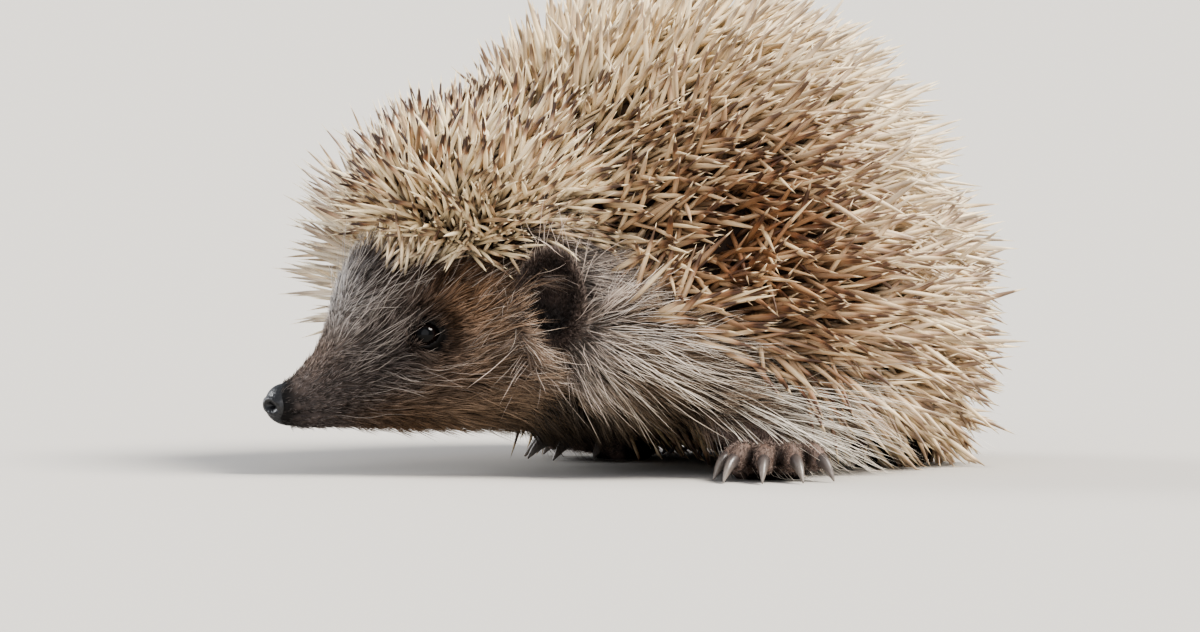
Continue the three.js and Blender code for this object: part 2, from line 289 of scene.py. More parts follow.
def toeLine(paw, i):
    sole, ahead, left = pawFrame(paw)
    onLeft = paw["sole"][0] > 0
    spread = toe["places"][i] if onLeft else -toe["places"][-1 - i]
    inner = spread == (-1 if onLeft else 1)
    size = toe["innerSize"] if inner else 1
    direction = turned(2, math.radians(toe["spread"] * spread)) @ ahead
    forwards = toe["ahead"] - toe["outerBack"] * spread**2
    start = sole + ahead * (paw["length"] * forwards - inner * toe["innerBack"])
    start = start + left * spread * (paw["width"] / 2 - toe["inset"]) * toe["apart"] + upward * pawHeight / 2
    tip = start + direction * toe["length"] * size * (1 - toe["outerShort"] * abs(spread))
    tip[2] = toe["endHeight"]
    return start, tip, direction, spread, size


def legShapes(paw):
    sole, ahead, _ = pawFrame(paw)

    def inFoot(back, rise):
        return sole - ahead * paw["length"] * back + upward * pawHeight * rise

    top, wrist = np.array(paw["top"], float), inFoot(*leg["wrist"])
    middle = top + (wrist - top) * leg["middle"]
    stations = []
    for at, (wide, high) in zip((top, middle, wrist), leg["sizes"]):
        stations.append((*at, paw["limb"] * wide, paw["limb"] * high))
    yield tube(stations, np.cross(ahead, upward), 20, 12)
    long, high = leg["footSize"]
    radii = (paw["width"] / 2 - leg["footInset"], paw["length"] * long, pawHeight * high)
    yield ellipsoid(inFoot(*leg["foot"]), radii, math.radians(paw["heading"]))
    last = len(toe["shape"]) - 1
    wide, high = toe["section"]
    for i in range(toe["count"]):
        start, tip, direction, _, size = toeLine(paw, i)
        stations = []
        for k, (share, arch) in enumerate(toe["shape"]):
            radius = toe["radius"] * size * share
            at = start + (tip - start) * k / last + upward * arch
            stations.append((*at, radius * wide, radius * high))
        yield tube(stations, np.cross(direction, upward), 14, 9)


tail = [(-4.3, 55, 17.5, 3.4), (-3.8, 65.1, 11, 2.5), (-2.8, 71.6, 7, 1.8), (-1.4, 76.4, 4.4, 0.8)]


def tailShape():
    return tube([(*row, row[3]) for row in tail], np.array([1.0, 0, 0]), 14, 18)


def meshOf(name, shapes):
    points, faces, start = [], [], 0
    for shapePoints, shapeFaces in shapes:
        points.append(np.asarray(shapePoints))
        faces += [tuple(start + i for i in face) for face in shapeFaces]
        start += len(shapePoints)
    mesh = bpy.data.meshes.new(name)
    mesh.from_pydata(np.vstack(points) * mm, [], faces)
    mesh.update()
    return mesh


def addObject(name, mesh):
    obj = bpy.data.objects.new(name, mesh)
    bpy.context.scene.collection.objects.link(obj)
    return obj


def finished(obj):  # the object's mesh with its modifiers worked in
    graph = bpy.context.evaluated_depsgraph_get()
    mesh = bpy.data.meshes.new_from_object(obj.evaluated_get(graph), depsgraph=graph)
    obj.modifiers.clear()
    old = obj.data
    obj.data = mesh
    bpy.data.meshes.remove(old)
    return obj


def rowsOf(items, field, width, kind=np.float32):
    flat = np.zeros(len(items) * width, kind)
    items.foreach_get(field, flat)
    return flat.reshape(-1, width)


def edgesOf(mesh):
    return rowsOf(mesh.edges, "vertices", 2, np.int32)


def normalsOf(mesh):
    return rowsOf(mesh.vertex_normals, "vector", 3).astype(float)


def pointsOf(mesh):
    return rowsOf(mesh.vertices, "co", 3).astype(float) / mm


def setPoints(mesh, points):
    mesh.vertices.foreach_set("co", (points * mm).astype(np.float32).ravel())
    mesh.update()


def addField(mesh, label, values):  # a number, a direction or a tint at each point
    count = len(mesh.vertices)
    if label == "tint":
        rows = np.column_stack([np.broadcast_to(values, (count, 3)), np.ones(count)])
        kind, field = "FLOAT_COLOR", "color"
    elif label in ("lie", "bend"):
        rows, kind, field = np.broadcast_to(values, (count, 3)), "FLOAT_VECTOR", "vector"
    else:
        rows, kind, field = np.broadcast_to(np.asarray(values, float), count), "FLOAT", "value"
    mesh.attributes.new(label, kind, "POINT").data.foreach_set(field, rows.ravel())


def shadeSmooth(mesh):
    for polygon in mesh.polygons:
        polygon.use_smooth = True


def finishPiece(obj, material, slot, *nodes):  # nodes: the plain solids it stands in for
    shadeSmooth(obj.data)
    obj.data.materials.append(material)
    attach(obj, "root")
    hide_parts(*nodes)


def smoothed(points, edges, weight, rounds):
    first, second = edges.T
    count = len(points)
    share = np.maximum(np.bincount(edges.ravel(), minlength=count), 1)
    for _ in range(rounds):
        moved = points.copy()
        for axis in range(3):
            total = np.bincount(first, points[second, axis], count)
            total = total + np.bincount(second, points[first, axis], count)
            moved[:, axis] += weight * 0.5 * (total / share - points[:, axis])
        points = moved
    return points


# ---- skin ----
skinSizes = {
    "voxel": 0.82, "smoothing": 14, "fineNearEye": 8.0, "fineNearMouth": 9.0,
    "mouthAt": (45, 0, 12), "soleDepth": 0.45, "seamAngle": 60, "islandMargin": 0.001,
}

shapes = [trunkShape(), headShape(), tailShape()]
for side in (1, -1):
    shapes += [earShape(side), tragusShape(side)]
for paw in paws.values():
    shapes += list(legShapes(paw))
skin = addObject("skin", meshOf("skin", shapes))
remesh = skin.modifiers.new("oneSkin", "REMESH")
remesh.mode = "VOXEL"
remesh.voxel_size = skinSizes["voxel"] * mm
finished(skin)
print("skin joined:", len(skin.data.vertices), "points")


def earPlace(points, side):  # the place in the ear's own directions, 1 at its edge
    centre, turning = earFrame(side)
    return (points - centre) @ turning / ear["radii"]


def nearEar(points):  # 1 on an ear, 0 past it
    reach = np.minimum(*(np.linalg.norm(earPlace(points, side), axis=1) for side in (1, -1)))
    return 1 - ramp(reach, 1.12, 1.35)


def onTail(points, top):  # 1 on the tail, up to the height where it meets the rump
    across = (1 - ramp(np.abs(points[:, 0] + 3), 5, 8)) * ramp(points[:, 1], 60, 64)
    return across * (1 - ramp(points[:, 2], *top))


eyes = {side: middleOf(name) for name, side in (("eye_left", 1), ("eye_right", -1))}
eyeRadius = 3.2
noseCentre = middleOf("nose")

points = pointsOf(skin.data)
along, _, height = headPlace(points)
calm = (1 - nearEar(points)) * (1 - 0.85 * (1 - ramp(height, 7, 12))) * (1 - 0.8 * ramp(along, 30, 46))
calm = calm * (1 - onTail(points, (18, 22)))
setPoints(skin.data, smoothed(points, edgesOf(skin.data), calm, skinSizes["smoothing"]))

fine = bmesh.new()
fine.from_mesh(skin.data)
spots = [(at, skinSizes["fineNearEye"]) for at in eyes.values()]
spots.append((onHead(*skinSizes["mouthAt"]), skinSizes["fineNearMouth"]))
near = []
for face in fine.faces:
    centre = np.array(face.calc_center_median()) / mm
    if any(np.linalg.norm(centre - at) < reach for at, reach in spots):
        near.append(face)
edges = {edge for face in near for edge in face.edges}
bmesh.ops.subdivide_edges(fine, edges=list(edges), cuts=1, use_grid_fill=True)
bmesh.ops.triangulate(fine, faces=fine.faces[:])
fine.to_mesh(skin.data)
fine.free()


lids = {
    "opening": (2.95, 2.35),  # half width and half height of the open eye
    "slant": 0.15, "squareness": 1.8,
    "edge": (0.82, 1.0), "behind": 0.9,  # where the lid ends, and how deep the skin goes inside it
    "thickness": 0.5, "soft": 0.7,
    "ahead": 0.22, "rise": 0.08,  # the eye looks a little forwards and up
    "furrow": (0.55, 5.4, 1.3),  # depth, how far out, width
    "swells": ((1.1, 6.5, 2.4), (0.5, -6.2, 2.2)), "swellReach": 6,  # brow and cheek: rise, place, width
    "fold": (0.35, 3.9, 0.45, 3),  # over the upper lid: depth, place, width, reach
    "reach": (8.5, 11), "deepest": -3,
}


def eyeFrame(side):
    out = unit(side * leftward + lids["ahead"] * forward + lids["rise"] * upward)
    ahead = unit(forward - (forward @ out) * out)
    return eyes[side], out, ahead, unit(upward - (upward @ out) * out - (upward @ ahead) * ahead)


def sculptEye(points, side):
    centre, out, ahead, rise = eyeFrame(side)
    local = points - centre
    u, v, w = local @ ahead, local @ rise, local @ out
    around = np.hypot(u, v)
    fadeFrom, reach = lids["reach"]
    near = (around < reach) & (w > lids["deepest"])
    wide, high = lids["opening"]
    power = lids["squareness"]
    opening = (np.abs(u + lids["slant"] * v) / wide) ** power + (np.abs(v) / high) ** power
    lidRadius = eyeRadius + lids["thickness"]
    hug = np.sqrt(np.clip(lidRadius**2 - around**2, 0, None))
    depth, place, width = lids["furrow"]
    base = w - depth * bell(around - place, width)
    for rise, place, width in lids["swells"]:
        base = base + rise * bell(v - place, width) * bell(u, lids["swellReach"])
    soft = lids["soft"]
    raised = soft * np.log(np.exp(base / soft) + np.exp(np.where(hug > 0, hug, -9) / soft))
    depth, place, width, across = lids["fold"]
    raised = raised - depth * bell(v - place, width) * bell(u, across)
    behind = np.sqrt(np.clip((eyeRadius - lids["behind"]) ** 2 - around**2, 0, None))
    inside = 1 - ramp(opening, *lids["edge"])
    moved = raised * (1 - inside) + np.minimum(behind, raised) * inside
    moved = np.where(near, moved, w)
    fade = 1 - ramp(around, fadeFrom, reach)
    return points + ((moved - w) * np.where(near, fade, 0))[:, None] * out


mouth = {
    "back": (29, 34), "front": (49.5, 51), "height": 12.6, "rise": 0.1,
    "profile": ((-0.75, 0, 0.5), (0.35, 1.3, 0.8), (0.25, -1.2, 0.7)),  # push, place over the line, width
    "pad": {"push": 0.5, "along": (45, 3), "height": (16.5, 2.6), "aside": (2, 4)},  # whisker pads
    "bridge": {"push": 0.5, "along": (46, 5), "width": 1.6, "height": (15, 18)},
}


def sculptMouth(points, normals):
    along, left, height = headPlace(points)
    over = height - (mouth["height"] + (mouth["front"][0] - along) * mouth["rise"])
    run = ramp(along, *mouth["back"]) * (1 - ramp(along, *mouth["front"]))
    lips = sum(push * bell(over - place, width) for push, place, width in mouth["profile"])
    pad, bridge = mouth["pad"], mouth["bridge"]
    (padAlong, padLong), (padHeight, padHigh) = pad["along"], pad["height"]
    pads = pad["push"] * bell(along - padAlong, padLong) * bell(height - padHeight, padHigh)
    ridgeAlong, ridgeLong = bridge["along"]
    ridge = bridge["push"] * bell(along - ridgeAlong, ridgeLong) * bell(left, bridge["width"])
    push = lips * run + pads * ramp(np.abs(left), *pad["aside"]) + ridge * ramp(height, *bridge["height"])
    return points + push[:, None] * normals


for side in (1, -1):
    setPoints(skin.data, sculptEye(pointsOf(skin.data), side))
setPoints(skin.data, sculptMouth(pointsOf(skin.data), normalsOf(skin.data)))
points = pointsOf(skin.data)
points[:, 2] = np.where(points[:, 2] < skinSizes["soleDepth"], 0.0, points[:, 2])  # flat soles
setPoints(skin.data, points)
shadeSmooth(skin.data)

bpy.context.view_layer.objects.active = skin
skin.select_set(True)
skin.data.uv_layers.new(name="OFBake")
bpy.ops.object.mode_set(mode="EDIT")
bpy.ops.mesh.select_all(action="SELECT")
seamAngle = math.radians(skinSizes["seamAngle"])
bpy.ops.uv.smart_project(angle_limit=seamAngle, island_margin=skinSizes["islandMargin"])
bpy.ops.object.mode_set(mode="OBJECT")
skin.select_set(False)
points = pointsOf(skin.data)
normals = normalsOf(skin.data)
along, left, height = headPlace(points)
sideOf = np.sign(left)
print("skin sculpted:", len(points), "points", len(skin.data.polygons), "faces")


# ---- where the coats grow, on the skin's points ----
margin = {  # the height of the lowest spine roots
    "head": [
        (-12, 44), (-8, 45), (0, 48.5), (5, 47.5), (10, 45), (18, 42.5), (26, 40.5),
        (32, 41), (35, 44.5), (38, 52), (40, 60),
    ],
    "left": [
        (-95, 46), (-62, 46), (-50, 48), (-42, 45), (-36, 36), (-28, 30), (-11, 26.5), (0, 24), (13, 20.5),
        (25, 17), (39, 12.5), (52, 10), (64, 9), (78, 14), (90, 18),
    ],
    "right": [(90, 18), (102, 14), (120, 9), (150, 10), (180, 16), (214, 25), (240, 27)],
}
around = np.degrees(np.arctan2(points[:, 1], points[:, 0] - trunk["centre"][0]))
onRight = np.where(around < -90, around + 360, around)
fromSide = np.degrees(np.arctan2(points[:, 1], np.abs(points[:, 0] - trunk["centre"][0])))  # 0 straight out
marginLeft = np.interp(around, *zip(*margin["left"]))
marginRight = np.interp(onRight, *zip(*margin["right"]))
marginHead = np.interp(along, *zip(*margin["head"]))
isHead = (along > -9) & (np.abs(left) < 24.5)
marginBody = np.where((around > -100) & (around <= 90), marginLeft, marginRight)
overMargin = height - np.where(isHead, marginHead, marginBody)

onEar = nearEar(points)
isTail = onTail(points, (17, 20))
isBelly = ramp(-normals[:, 2], 0.35, 0.7) * (along < 5)
spiny = ramp(overMargin, -0.3, 0.7) * (1 - onEar)
eyeAway = np.minimum(*(np.linalg.norm(points - (eyes[s] + s * 1.5 * leftward), axis=1) for s in (1, -1)))
noseAway = np.linalg.norm((points - noseCentre), axis=1)
face = ramp(along, -2, 8) * (1 - isBelly) * (height > 6)
limbs = np.zeros(len(points))
betweenToes = np.full(len(points), 99.0)  # how far from the nearest toe's middle line
for paw in paws.values():
    sole, ahead, _ = pawFrame(paw)
    away = np.linalg.norm(points[:, :2] - (sole[:2] + ahead[:2] * 2), axis=1)
    near = (1 - ramp(away, paw["length"] * 0.85, paw["length"] * 1.1)) * (1 - ramp(height, 10, 14))
    limbs = np.maximum(limbs, near)
    for i in range(toe["count"]):
        start, tip, *_ = toeLine(paw, i)
        line = tip[:2] - start[:2]
        share = np.clip((points[:, :2] - start[:2]) @ line / (line @ line), 0.25, 1)
        aside = np.linalg.norm(points[:, :2] - start[:2] - share[:, None] * line, axis=1)
        betweenToes = np.minimum(betweenToes, aside)
hood = ramp(-left, 14, 26) * ramp(-points[:, 1], 14, 32)  # the rim of spines beyond the right cheek
crown = ramp(-points[:, 1], 14, 34) * ramp(height, 34, 46)
parting = bell(np.linalg.norm(points - [31, -4, 48], axis=1), 5.5)  # where the left flank's spines part


# ---- markings, shared by the skin and every coat; some are painted shade and painted light ----
markings = [  # along the head, to its side, height, reach, colour
    (52, 2, 14, 4, "2d2725"),
    (45, 6, 17, 6, "645d5b"),
    (45, 1, 24, 5, "937f70"),
    # partly painted light: the pale grey down the top of the muzzle and the forehead is the fur's own tone,
    # made paler for the sky light on the lit profile
    (41, 2, 33, 6, "b6afa9"),
    (38, 3, 37, 4.5, "d4d1cf"),
    (35, 5, 43.5, 3.5, "2c1c15"),
    (34, 7, 43, 6.8, "31211a"),
    (28, 10, 41, 6, "3f2e23"),
    (31, 9, 38, 4.5, "48382d"),
    (33, 8, 34, 5, "7c726b"),
    (24.5, 14, 28.5, 4.6, "181210"),
    (31, 11, 29, 5, "4d433e"),
    (17, 16, 36, 6, "795d46"),
    (10, 18, 31, 5, "745c47"),
    (12, 16, 43, 6, "3a2a20"),
    (3, 19, 40, 5, "35271f"),
    # painted shadow: the dark shade of the ear's opening, just in front of the ear
    (6.5, 19, 34, 3.8, "1f1713"),
    (20, 15, 21, 6, "66554a"),
    (34, 9, 20, 7, "56504e"),
    (9, 19, 23, 7, "776251"),
    (31, 6, 11, 6, "70573f"),
    (14, 12, 12, 9, "836d58"),
    (0, 10, 12, 12, "7f6e5c"),
    (-6, 24, 32, 9, "e0d5cc"),
    (-4, 24, 24, 8, "85766a"),
    (-12, 22, 18, 12, "7b6c5d"),
]
bodyMarkings = {
    # groove is painted shade in the gaps between the toes
    "skirt": "6f5f50", "belly": "6f6050", "foot": "94837a", "groove": "2b211d", "tail": "66564a",
    "ear": "50443e", "inEar": "15110f",
}


def mixed(base, other, share):
    return base + (other - base) * share[:, None]


def everywhere(code):
    return np.tile(colour(code), (len(points), 1))


def painted(base, codes, parts):  # each part's colour in turn over the ones before
    for name, share in parts:
        base = mixed(base, colour(codes[name]), share)
    return base


def coatColours():
    weights, total = 0, np.zeros((len(points), 3))
    for atAlong, atSide, atHeight, reach, code in markings:
        away = np.sqrt((along - atAlong) ** 2 + (np.abs(left) - atSide) ** 2 + (height - atHeight) ** 2)
        weight = np.exp(-((away / reach) ** 1.6))
        weights = weights + weight
        total += weight[:, None] * colour(code)
    onFace = total / (weights + 1e-6)[:, None]
    result = mixed(everywhere(bodyMarkings["skirt"]), onFace, ramp(along, -14, -2))
    # painted shade: the fur and skin between the toes near the floor darkened with the groove colour
    toeGapShade = limbs * ramp(betweenToes, 1.3, 2.3) * (1 - ramp(height, 6, 8))
    parts = [("belly", isBelly), ("foot", limbs), ("groove", toeGapShade), ("tail", isTail), ("ear", onEar)]
    for side in (1, -1):
        x, y, z = earPlace(points, side).T
        inside = (1 - ramp(np.hypot(x, z), 0.6, 0.9)) * (1 - ramp(y, 0.0, 0.5)) * (left * side > 0)
        parts.append(("inEar", inside * onEar))
    return painted(result, bodyMarkings, parts)


tints = coatColours()
spineTints = {
    "crown": "f3e2bf", "back": "f1dfbd", "flank": "8f6648",
    # hood: painted light, the paler tint on the rim of spines beyond the right cheek stands for their backlit
    # look
    "low": "e0caa9", "rump": "f7e8cd", "hood": "f4ecdc",
    "flankAt": (40, 1, 46), "flankReach": 27,  # the brown patch: out from the middle, back and up
}


def spineColours():
    out, back, up = spineTints["flankAt"]
    aside = np.abs(points[:, 0] - trunk["centre"][0]) - out
    shorter = np.where(points[:, 1] > back, 0.95 + 0.45 * ramp(height, 36, 56), 0.95)
    away = np.linalg.norm(np.stack([aside, (points[:, 1] - back) * shorter, height - up], 1), axis=1)
    parts = [
        ("rump", ramp(points[:, 1], 2, 34) * 0.9), ("low", 1 - ramp(height, 18, 46)),
        ("crown", ramp(-points[:, 1], 8, 30)), ("flank", bell(away, spineTints["flankReach"])),
        ("hood", hood * 0.8),
    ]
    return painted(everywhere(spineTints["back"]), spineTints, parts)


# ---- how the coats lie ----
def tangent(vectors):
    vectors = np.broadcast_to(vectors, points.shape)
    flat = vectors - (vectors * normals).sum(1, keepdims=True) * normals
    return unit(flat)


def wander(scale, seed):  # a smooth random swing over the body
    random = np.random.default_rng(seed)
    swing = np.zeros_like(points)
    for axis in range(3):
        for _ in range(4):
            wave = unit(random.normal(size=3)) * 2 * math.pi / (scale * random.uniform(0.7, 1.4))
            swing[:, axis] += 0.5 * np.sin(points @ wave + random.uniform(0, 6.28))
    return swing


hairLie = {
    "from": (60, 0, 12),  # the place on the head that the hair of the face points away from
    "downwards": [(-50, 0.6), (-30, 0.27), (-12, 0.06), (8, 0.02), (30, 0.4)],  # degrees round, slope
    "belly": (0, 1.0, -0.1), "tail": (0.1, 0.8, -0.6),
}


def hairFlow():  # back over the face and the flanks, down the legs, out over the ears
    flow = unit(points - onHead(*hairLie["from"]))
    away = np.stack([points - (eyes[s] + s * leftward) for s in (1, -1)])
    nearest = np.where((left > 0)[:, None], away[0], away[1])
    flow = flow + 0.9 * bell(eyeAway, 6)[:, None] * unit(nearest)
    outward = 0.1 + 0.45 * ramp(-points[:, 1], -8, 6) * (1 - ramp(height, 20, 34))
    back = np.array([0, 1.0, 0]) + (sideOf * outward)[:, None] * np.array([1.0, 0, 0])
    back = back - np.interp(fromSide, *zip(*hairLie["downwards"]))[:, None] * upward
    flow = mixed(flow, back, 1 - ramp(along, -4, 14))
    flow = flow + 0.3 * wander(7, 9)
    flow = mixed(flow, np.array(hairLie["belly"]), isBelly)
    legward = np.zeros_like(points)
    for paw in paws.values():
        sole, ahead, _ = pawFrame(paw)
        near = 1 - ramp(np.linalg.norm(points[:, :2] - sole[:2], axis=1), paw["length"], paw["length"] * 1.3)
        legward += near[:, None] * (ahead - 0.5 * upward)
    flow = mixed(flow, legward, ramp(limbs, 0.5, 1))
    flow = mixed(flow, np.array(hairLie["tail"]), isTail)
    for side in (1, -1):
        centre, _ = earFrame(side)
        flow = mixed(flow, unit(points - centre + 6 * upward), onEar * (left * side > 0))
    return tangent(flow)


def spineLie():  # back over the body and down its sides, up from the brow, forwards on the hood
    rise = 8 - 40 * (1 - ramp(height, 10, 44))  # degrees up from straight back
    fromBrow = 58 + 66 * ramp(along, 4, 34) * (1 - ramp(overMargin, 5, 22))
    rise = rise + (fromBrow - rise) * ramp(along, -16, 8) * ramp(height, 38, 50)
    rise = np.radians(rise + (140 - 28 * ramp(height, 44, 56) - rise) * hood)
    flow = np.cos(rise)[:, None] * np.array([0.15, 1.0, 0]) + np.sin(rise)[:, None] * upward
    flow = flow - (0.5 * hood)[:, None] * leftward
    flow = smoothed(flow, edgesOf(skin.data), 1.0, 30)
    return tangent(unit(tangent(flow)) + 0.45 * wander(9, 5))


print("coat fields ready")


# ---- node helpers ----
def feed(tree, node, inputs):  # each input gets a link or a value
    for key, value in inputs.items():
        if isinstance(value, bpy.types.NodeSocket):
            tree.links.new(value, node.inputs[key])
        else:
            node.inputs[key].default_value = value


def addNode(tree, kind, inputs=None, **settings):
    made = tree.nodes.new(kind)
    for key, value in settings.items():
        setattr(made, key, value)
    feed(tree, made, inputs or {})
    return made


def sums(tree, operation, *values):
    return addNode(tree, "ShaderNodeMath", dict(enumerate(values)), operation=operation).outputs[0]


def vectorSums(tree, operation, *values, scale=None):
    inputs = dict(enumerate(values))
    if scale is not None:
        inputs["Scale"] = scale
    return addNode(tree, "ShaderNodeVectorMath", inputs, operation=operation).outputs[0]


# ---- one tree grows every coat: spines, hair and down ----
def growthTree(name, even):
    tree = bpy.data.node_groups.new(name, "GeometryNodeTree")
    sockets = (
        ("Skin", "Geometry"), ("Density", "Float"), ("Spacing", "Float"), ("Seed", "Int"),
        ("Uneven Length", "Float"), ("Uneven Girth", "Float"), ("Patch", "Float"),
        ("Strands", "Collection"), ("Finish", "Material"),
    )
    for label, kind in sockets:
        tree.interface.new_socket(label, in_out="INPUT", socket_type="NodeSocket" + kind)
    tree.interface.new_socket("Coat", in_out="OUTPUT", socket_type="NodeSocketGeometry")
    given = addNode(tree, "NodeGroupInput").outputs
    seed = given["Seed"]

    def named(label, kind="FLOAT"):
        return addNode(tree, "GeometryNodeInputNamedAttribute", {"Name": label}, data_type=kind).outputs[0]

    def vector(label):
        return named(label, "FLOAT_VECTOR")

    def store(geometry, label, value, kind="FLOAT", domain="POINT"):
        inputs = {"Geometry": geometry, "Name": label, "Value": value}
        settings = {"data_type": kind, "domain": domain}
        return addNode(tree, "GeometryNodeStoreNamedAttribute", inputs, **settings).outputs[0]

    def chance(low, high, offset, kind="FLOAT"):
        first = {"FLOAT_VECTOR": 0, "FLOAT": 2, "INT": 4}[kind]
        inputs = {first: low, first + 1: high, "Seed": sums(tree, "ADD", seed, offset)}
        return addNode(tree, "FunctionNodeRandomValue", inputs, data_type=kind).outputs[first // 2]

    def varied(label, uneven, offset):  # a named size, a little more or less for each strand
        swing = sums(tree, "MULTIPLY", given[uneven], chance(-1, 1, offset))
        return sums(tree, "MULTIPLY", named(label), sums(tree, "ADD", 1.0, swing))

    spread = addNode(
        tree, "GeometryNodeDistributePointsOnFaces", {"Mesh": given["Skin"], "Seed": seed},
        distribute_method="POISSON" if even else "RANDOM",
    )
    if even:
        inputs = {
            "Distance Min": given["Spacing"], "Density Max": given["Density"],
            "Density Factor": named("amount"),
        }
    else:
        inputs = {"Density": sums(tree, "MULTIPLY", given["Density"], named("amount"))}
    feed(tree, spread, inputs)
    roots = store(spread.outputs["Points"], "rootPlace", vector("OFBake"), "FLOAT_VECTOR")
    lie = vectorSums(tree, "SCALE", vector("lie"), scale=sums(tree, "COSINE", named("lift")))
    stand = vectorSums(tree, "SCALE", spread.outputs["Normal"], scale=sums(tree, "SINE", named("lift")))
    stray = chance((-1, -1, -1), (1, 1, 1), 11, "FLOAT_VECTOR")
    stray = vectorSums(tree, "SCALE", stray, scale=named("stray"))
    way = vectorSums(tree, "ADD", vectorSums(tree, "ADD", lie, stand), stray)
    aligned = addNode(tree, "FunctionNodeAlignRotationToVector", {"Vector": way}, axis="Z").outputs[0]
    spin = {"Axis": (0, 0, 1), "Angle": chance(0, 6.283, 5)}
    spin = addNode(tree, "FunctionNodeAxisAngleToRotation", spin).outputs[0]
    rotation = {0: aligned, 1: spin}
    rotation = addNode(tree, "FunctionNodeRotateRotation", rotation, rotation_space="LOCAL").outputs[0]
    reach = varied("reach", "Uneven Length", 21)
    girth = varied("girth", "Uneven Girth", 31)
    scale = addNode(tree, "ShaderNodeCombineXYZ", {0: girth, 1: girth, 2: reach}).outputs[0]
    roots = store(roots, "bent", vectorSums(tree, "SCALE", vector("bend"), scale=reach), "FLOAT_VECTOR")
    strands = {"Collection": given["Strands"], "Separate Children": True, "Reset Children": True}
    strands = addNode(tree, "GeometryNodeCollectionInfo", strands).outputs[0]
    inputs = {
        "Points": roots, "Instance": strands, "Pick Instance": True,
        "Instance Index": chance(0, 99, 41, "INT"), "Rotation": rotation, "Scale": scale,
    }
    placed = addNode(tree, "GeometryNodeInstanceOnPoints", inputs).outputs[0]
    placed = store(placed, "chance", chance(0, 1, 51), domain="INSTANCE")
    coat = addNode(tree, "GeometryNodeRealizeInstances", {"Geometry": placed}).outputs[0]
    each = sums(tree, "FRACT", sums(tree, "ADD", named("chance"), named("own")))
    coat = store(coat, "chance", each)
    offset = vectorSums(tree, "SCALE", vector("bent"), scale=sums(tree, "POWER", named("along"), 2.0))
    coat = addNode(tree, "GeometryNodeSetPosition", {"Geometry": coat, "Offset": offset}).outputs[0]
    place = addNode(tree, "GeometryNodeInputPosition").outputs[0]
    x, y, z = addNode(tree, "ShaderNodeSeparateXYZ", {0: place}).outputs
    above = sums(tree, "MAXIMUM", z, 0.0002)  # no strand goes into the floor
    place = addNode(tree, "ShaderNodeCombineXYZ", {0: x, 1: y, 2: above}).outputs[0]
    coat = addNode(tree, "GeometryNodeSetPosition", {"Geometry": coat, "Position": place}).outputs[0]
    patch = vectorSums(tree, "SUBTRACT", vector("patch"), (0.5, 0.5, 0))
    patch = vectorSums(tree, "SCALE", patch, scale=given["Patch"])
    place = vectorSums(tree, "ADD", vector("rootPlace"), patch)
    coat = store(coat, "OFBake", place, "FLOAT2", "CORNER")
    coat = addNode(tree, "GeometryNodeSetShadeSmooth", {"Geometry": coat}).outputs[0]
    inputs = {"Geometry": coat, "Material": given["Finish"]}
    coat = addNode(tree, "GeometryNodeSetMaterial", inputs).outputs[0]
    addNode(tree, "NodeGroupOutput", {"Coat": coat})
    return tree


evenTree = growthTree("evenGrowth", True)
looseTree = growthTree("looseGrowth", False)


# ---- strands to grow, at most one unit long; a unit of girth is the radius of a hair or a spine ----
def strand(rings, sides, lean=(0, 0), root=(0, 0), length=1.0, patch=(0, 1), wave=0.0, phase=0.0, own=0.0):
    # rings: how far along and how thick. The last is the point. own: its share of chance within a tuft
    points, faces, alongs, patches = [], [], [], []
    angles = np.linspace(0, 2 * math.pi, sides, endpoint=False)

    def middle(share):
        swing = wave * share * np.array([math.sin(phase + 5 * share), math.cos(phase + 4 * share)])
        return np.array(root) + np.array(lean) * share**1.5 + swing

    for share, thick in rings[:-1]:
        x, y = middle(share)
        for angle in angles:
            points.append((x + thick * math.cos(angle), y + thick * math.sin(angle), share * length))
            alongs.append(share)
    points.append((*middle(1), length))
    alongs.append(1.0)
    tip = len(points) - 1
    low, high = patch

    def across(j):
        return low + (high - low) * j / sides

    for i in range(len(rings) - 2):
        for j in range(sides):
            a, b = i * sides + j, i * sides + (j + 1) % sides
            faces.append((a, b, b + sides, a + sides))
            bottom, top = rings[i][0], rings[i + 1][0]
            near, far = across(j), across(j + 1)
            patches.append([(near, bottom), (far, bottom), (far, top), (near, top)])
    start, top = (len(rings) - 2) * sides, rings[-2][0]
    for j in range(sides):
        faces.append((start + j, start + (j + 1) % sides, tip))
        patches.append([(across(j), top), (across(j + 1), top), (across(j + 0.5), 1)])
    faces.append(tuple(reversed(range(sides))))
    wheel = [(across(sides * (0.5 + 0.5 * math.cos(t))), 0.03 + 0.03 * math.sin(t)) for t in angles]
    patches.append(list(reversed(wheel)))
    return points, faces, alongs, patches, [own] * len(points)


def strandObject(name, parts, collection):
    points, faces, alongs, patches, owns = [], [], [], [], []
    for partPoints, partFaces, partAlongs, partPatches, partOwns in parts:
        faces += [tuple(len(points) + i for i in face) for face in partFaces]
        points += partPoints
        alongs += partAlongs
        patches += partPatches
        owns += partOwns
    mesh = bpy.data.meshes.new(name)
    mesh.from_pydata(points, [], faces)
    addField(mesh, "along", alongs)
    addField(mesh, "own", owns)
    flat = [value for patch in patches for corner in patch for value in corner]
    mesh.attributes.new("patch", "FLOAT2", "CORNER").data.foreach_set("vector", flat)
    collection.objects.link(bpy.data.objects.new(name, mesh))


def strandCollection(name, make, count, seed):
    collection = bpy.data.collections.new(name)
    random = np.random.default_rng(seed)
    for i in range(count):
        strandObject(f"{name}{i}", make(random), collection)
    return collection


def oneSpine(random):
    thick = random.uniform(0.9, 1.05)
    rings = [(0, 0.42), (0.14, 0.9 * thick), (0.54, thick), (0.71, 0.84 * thick), (0.86, 0.45), (1, 0)]
    return [strand(rings, 5, lean=random.uniform(-2.6, 2.6, 2))]


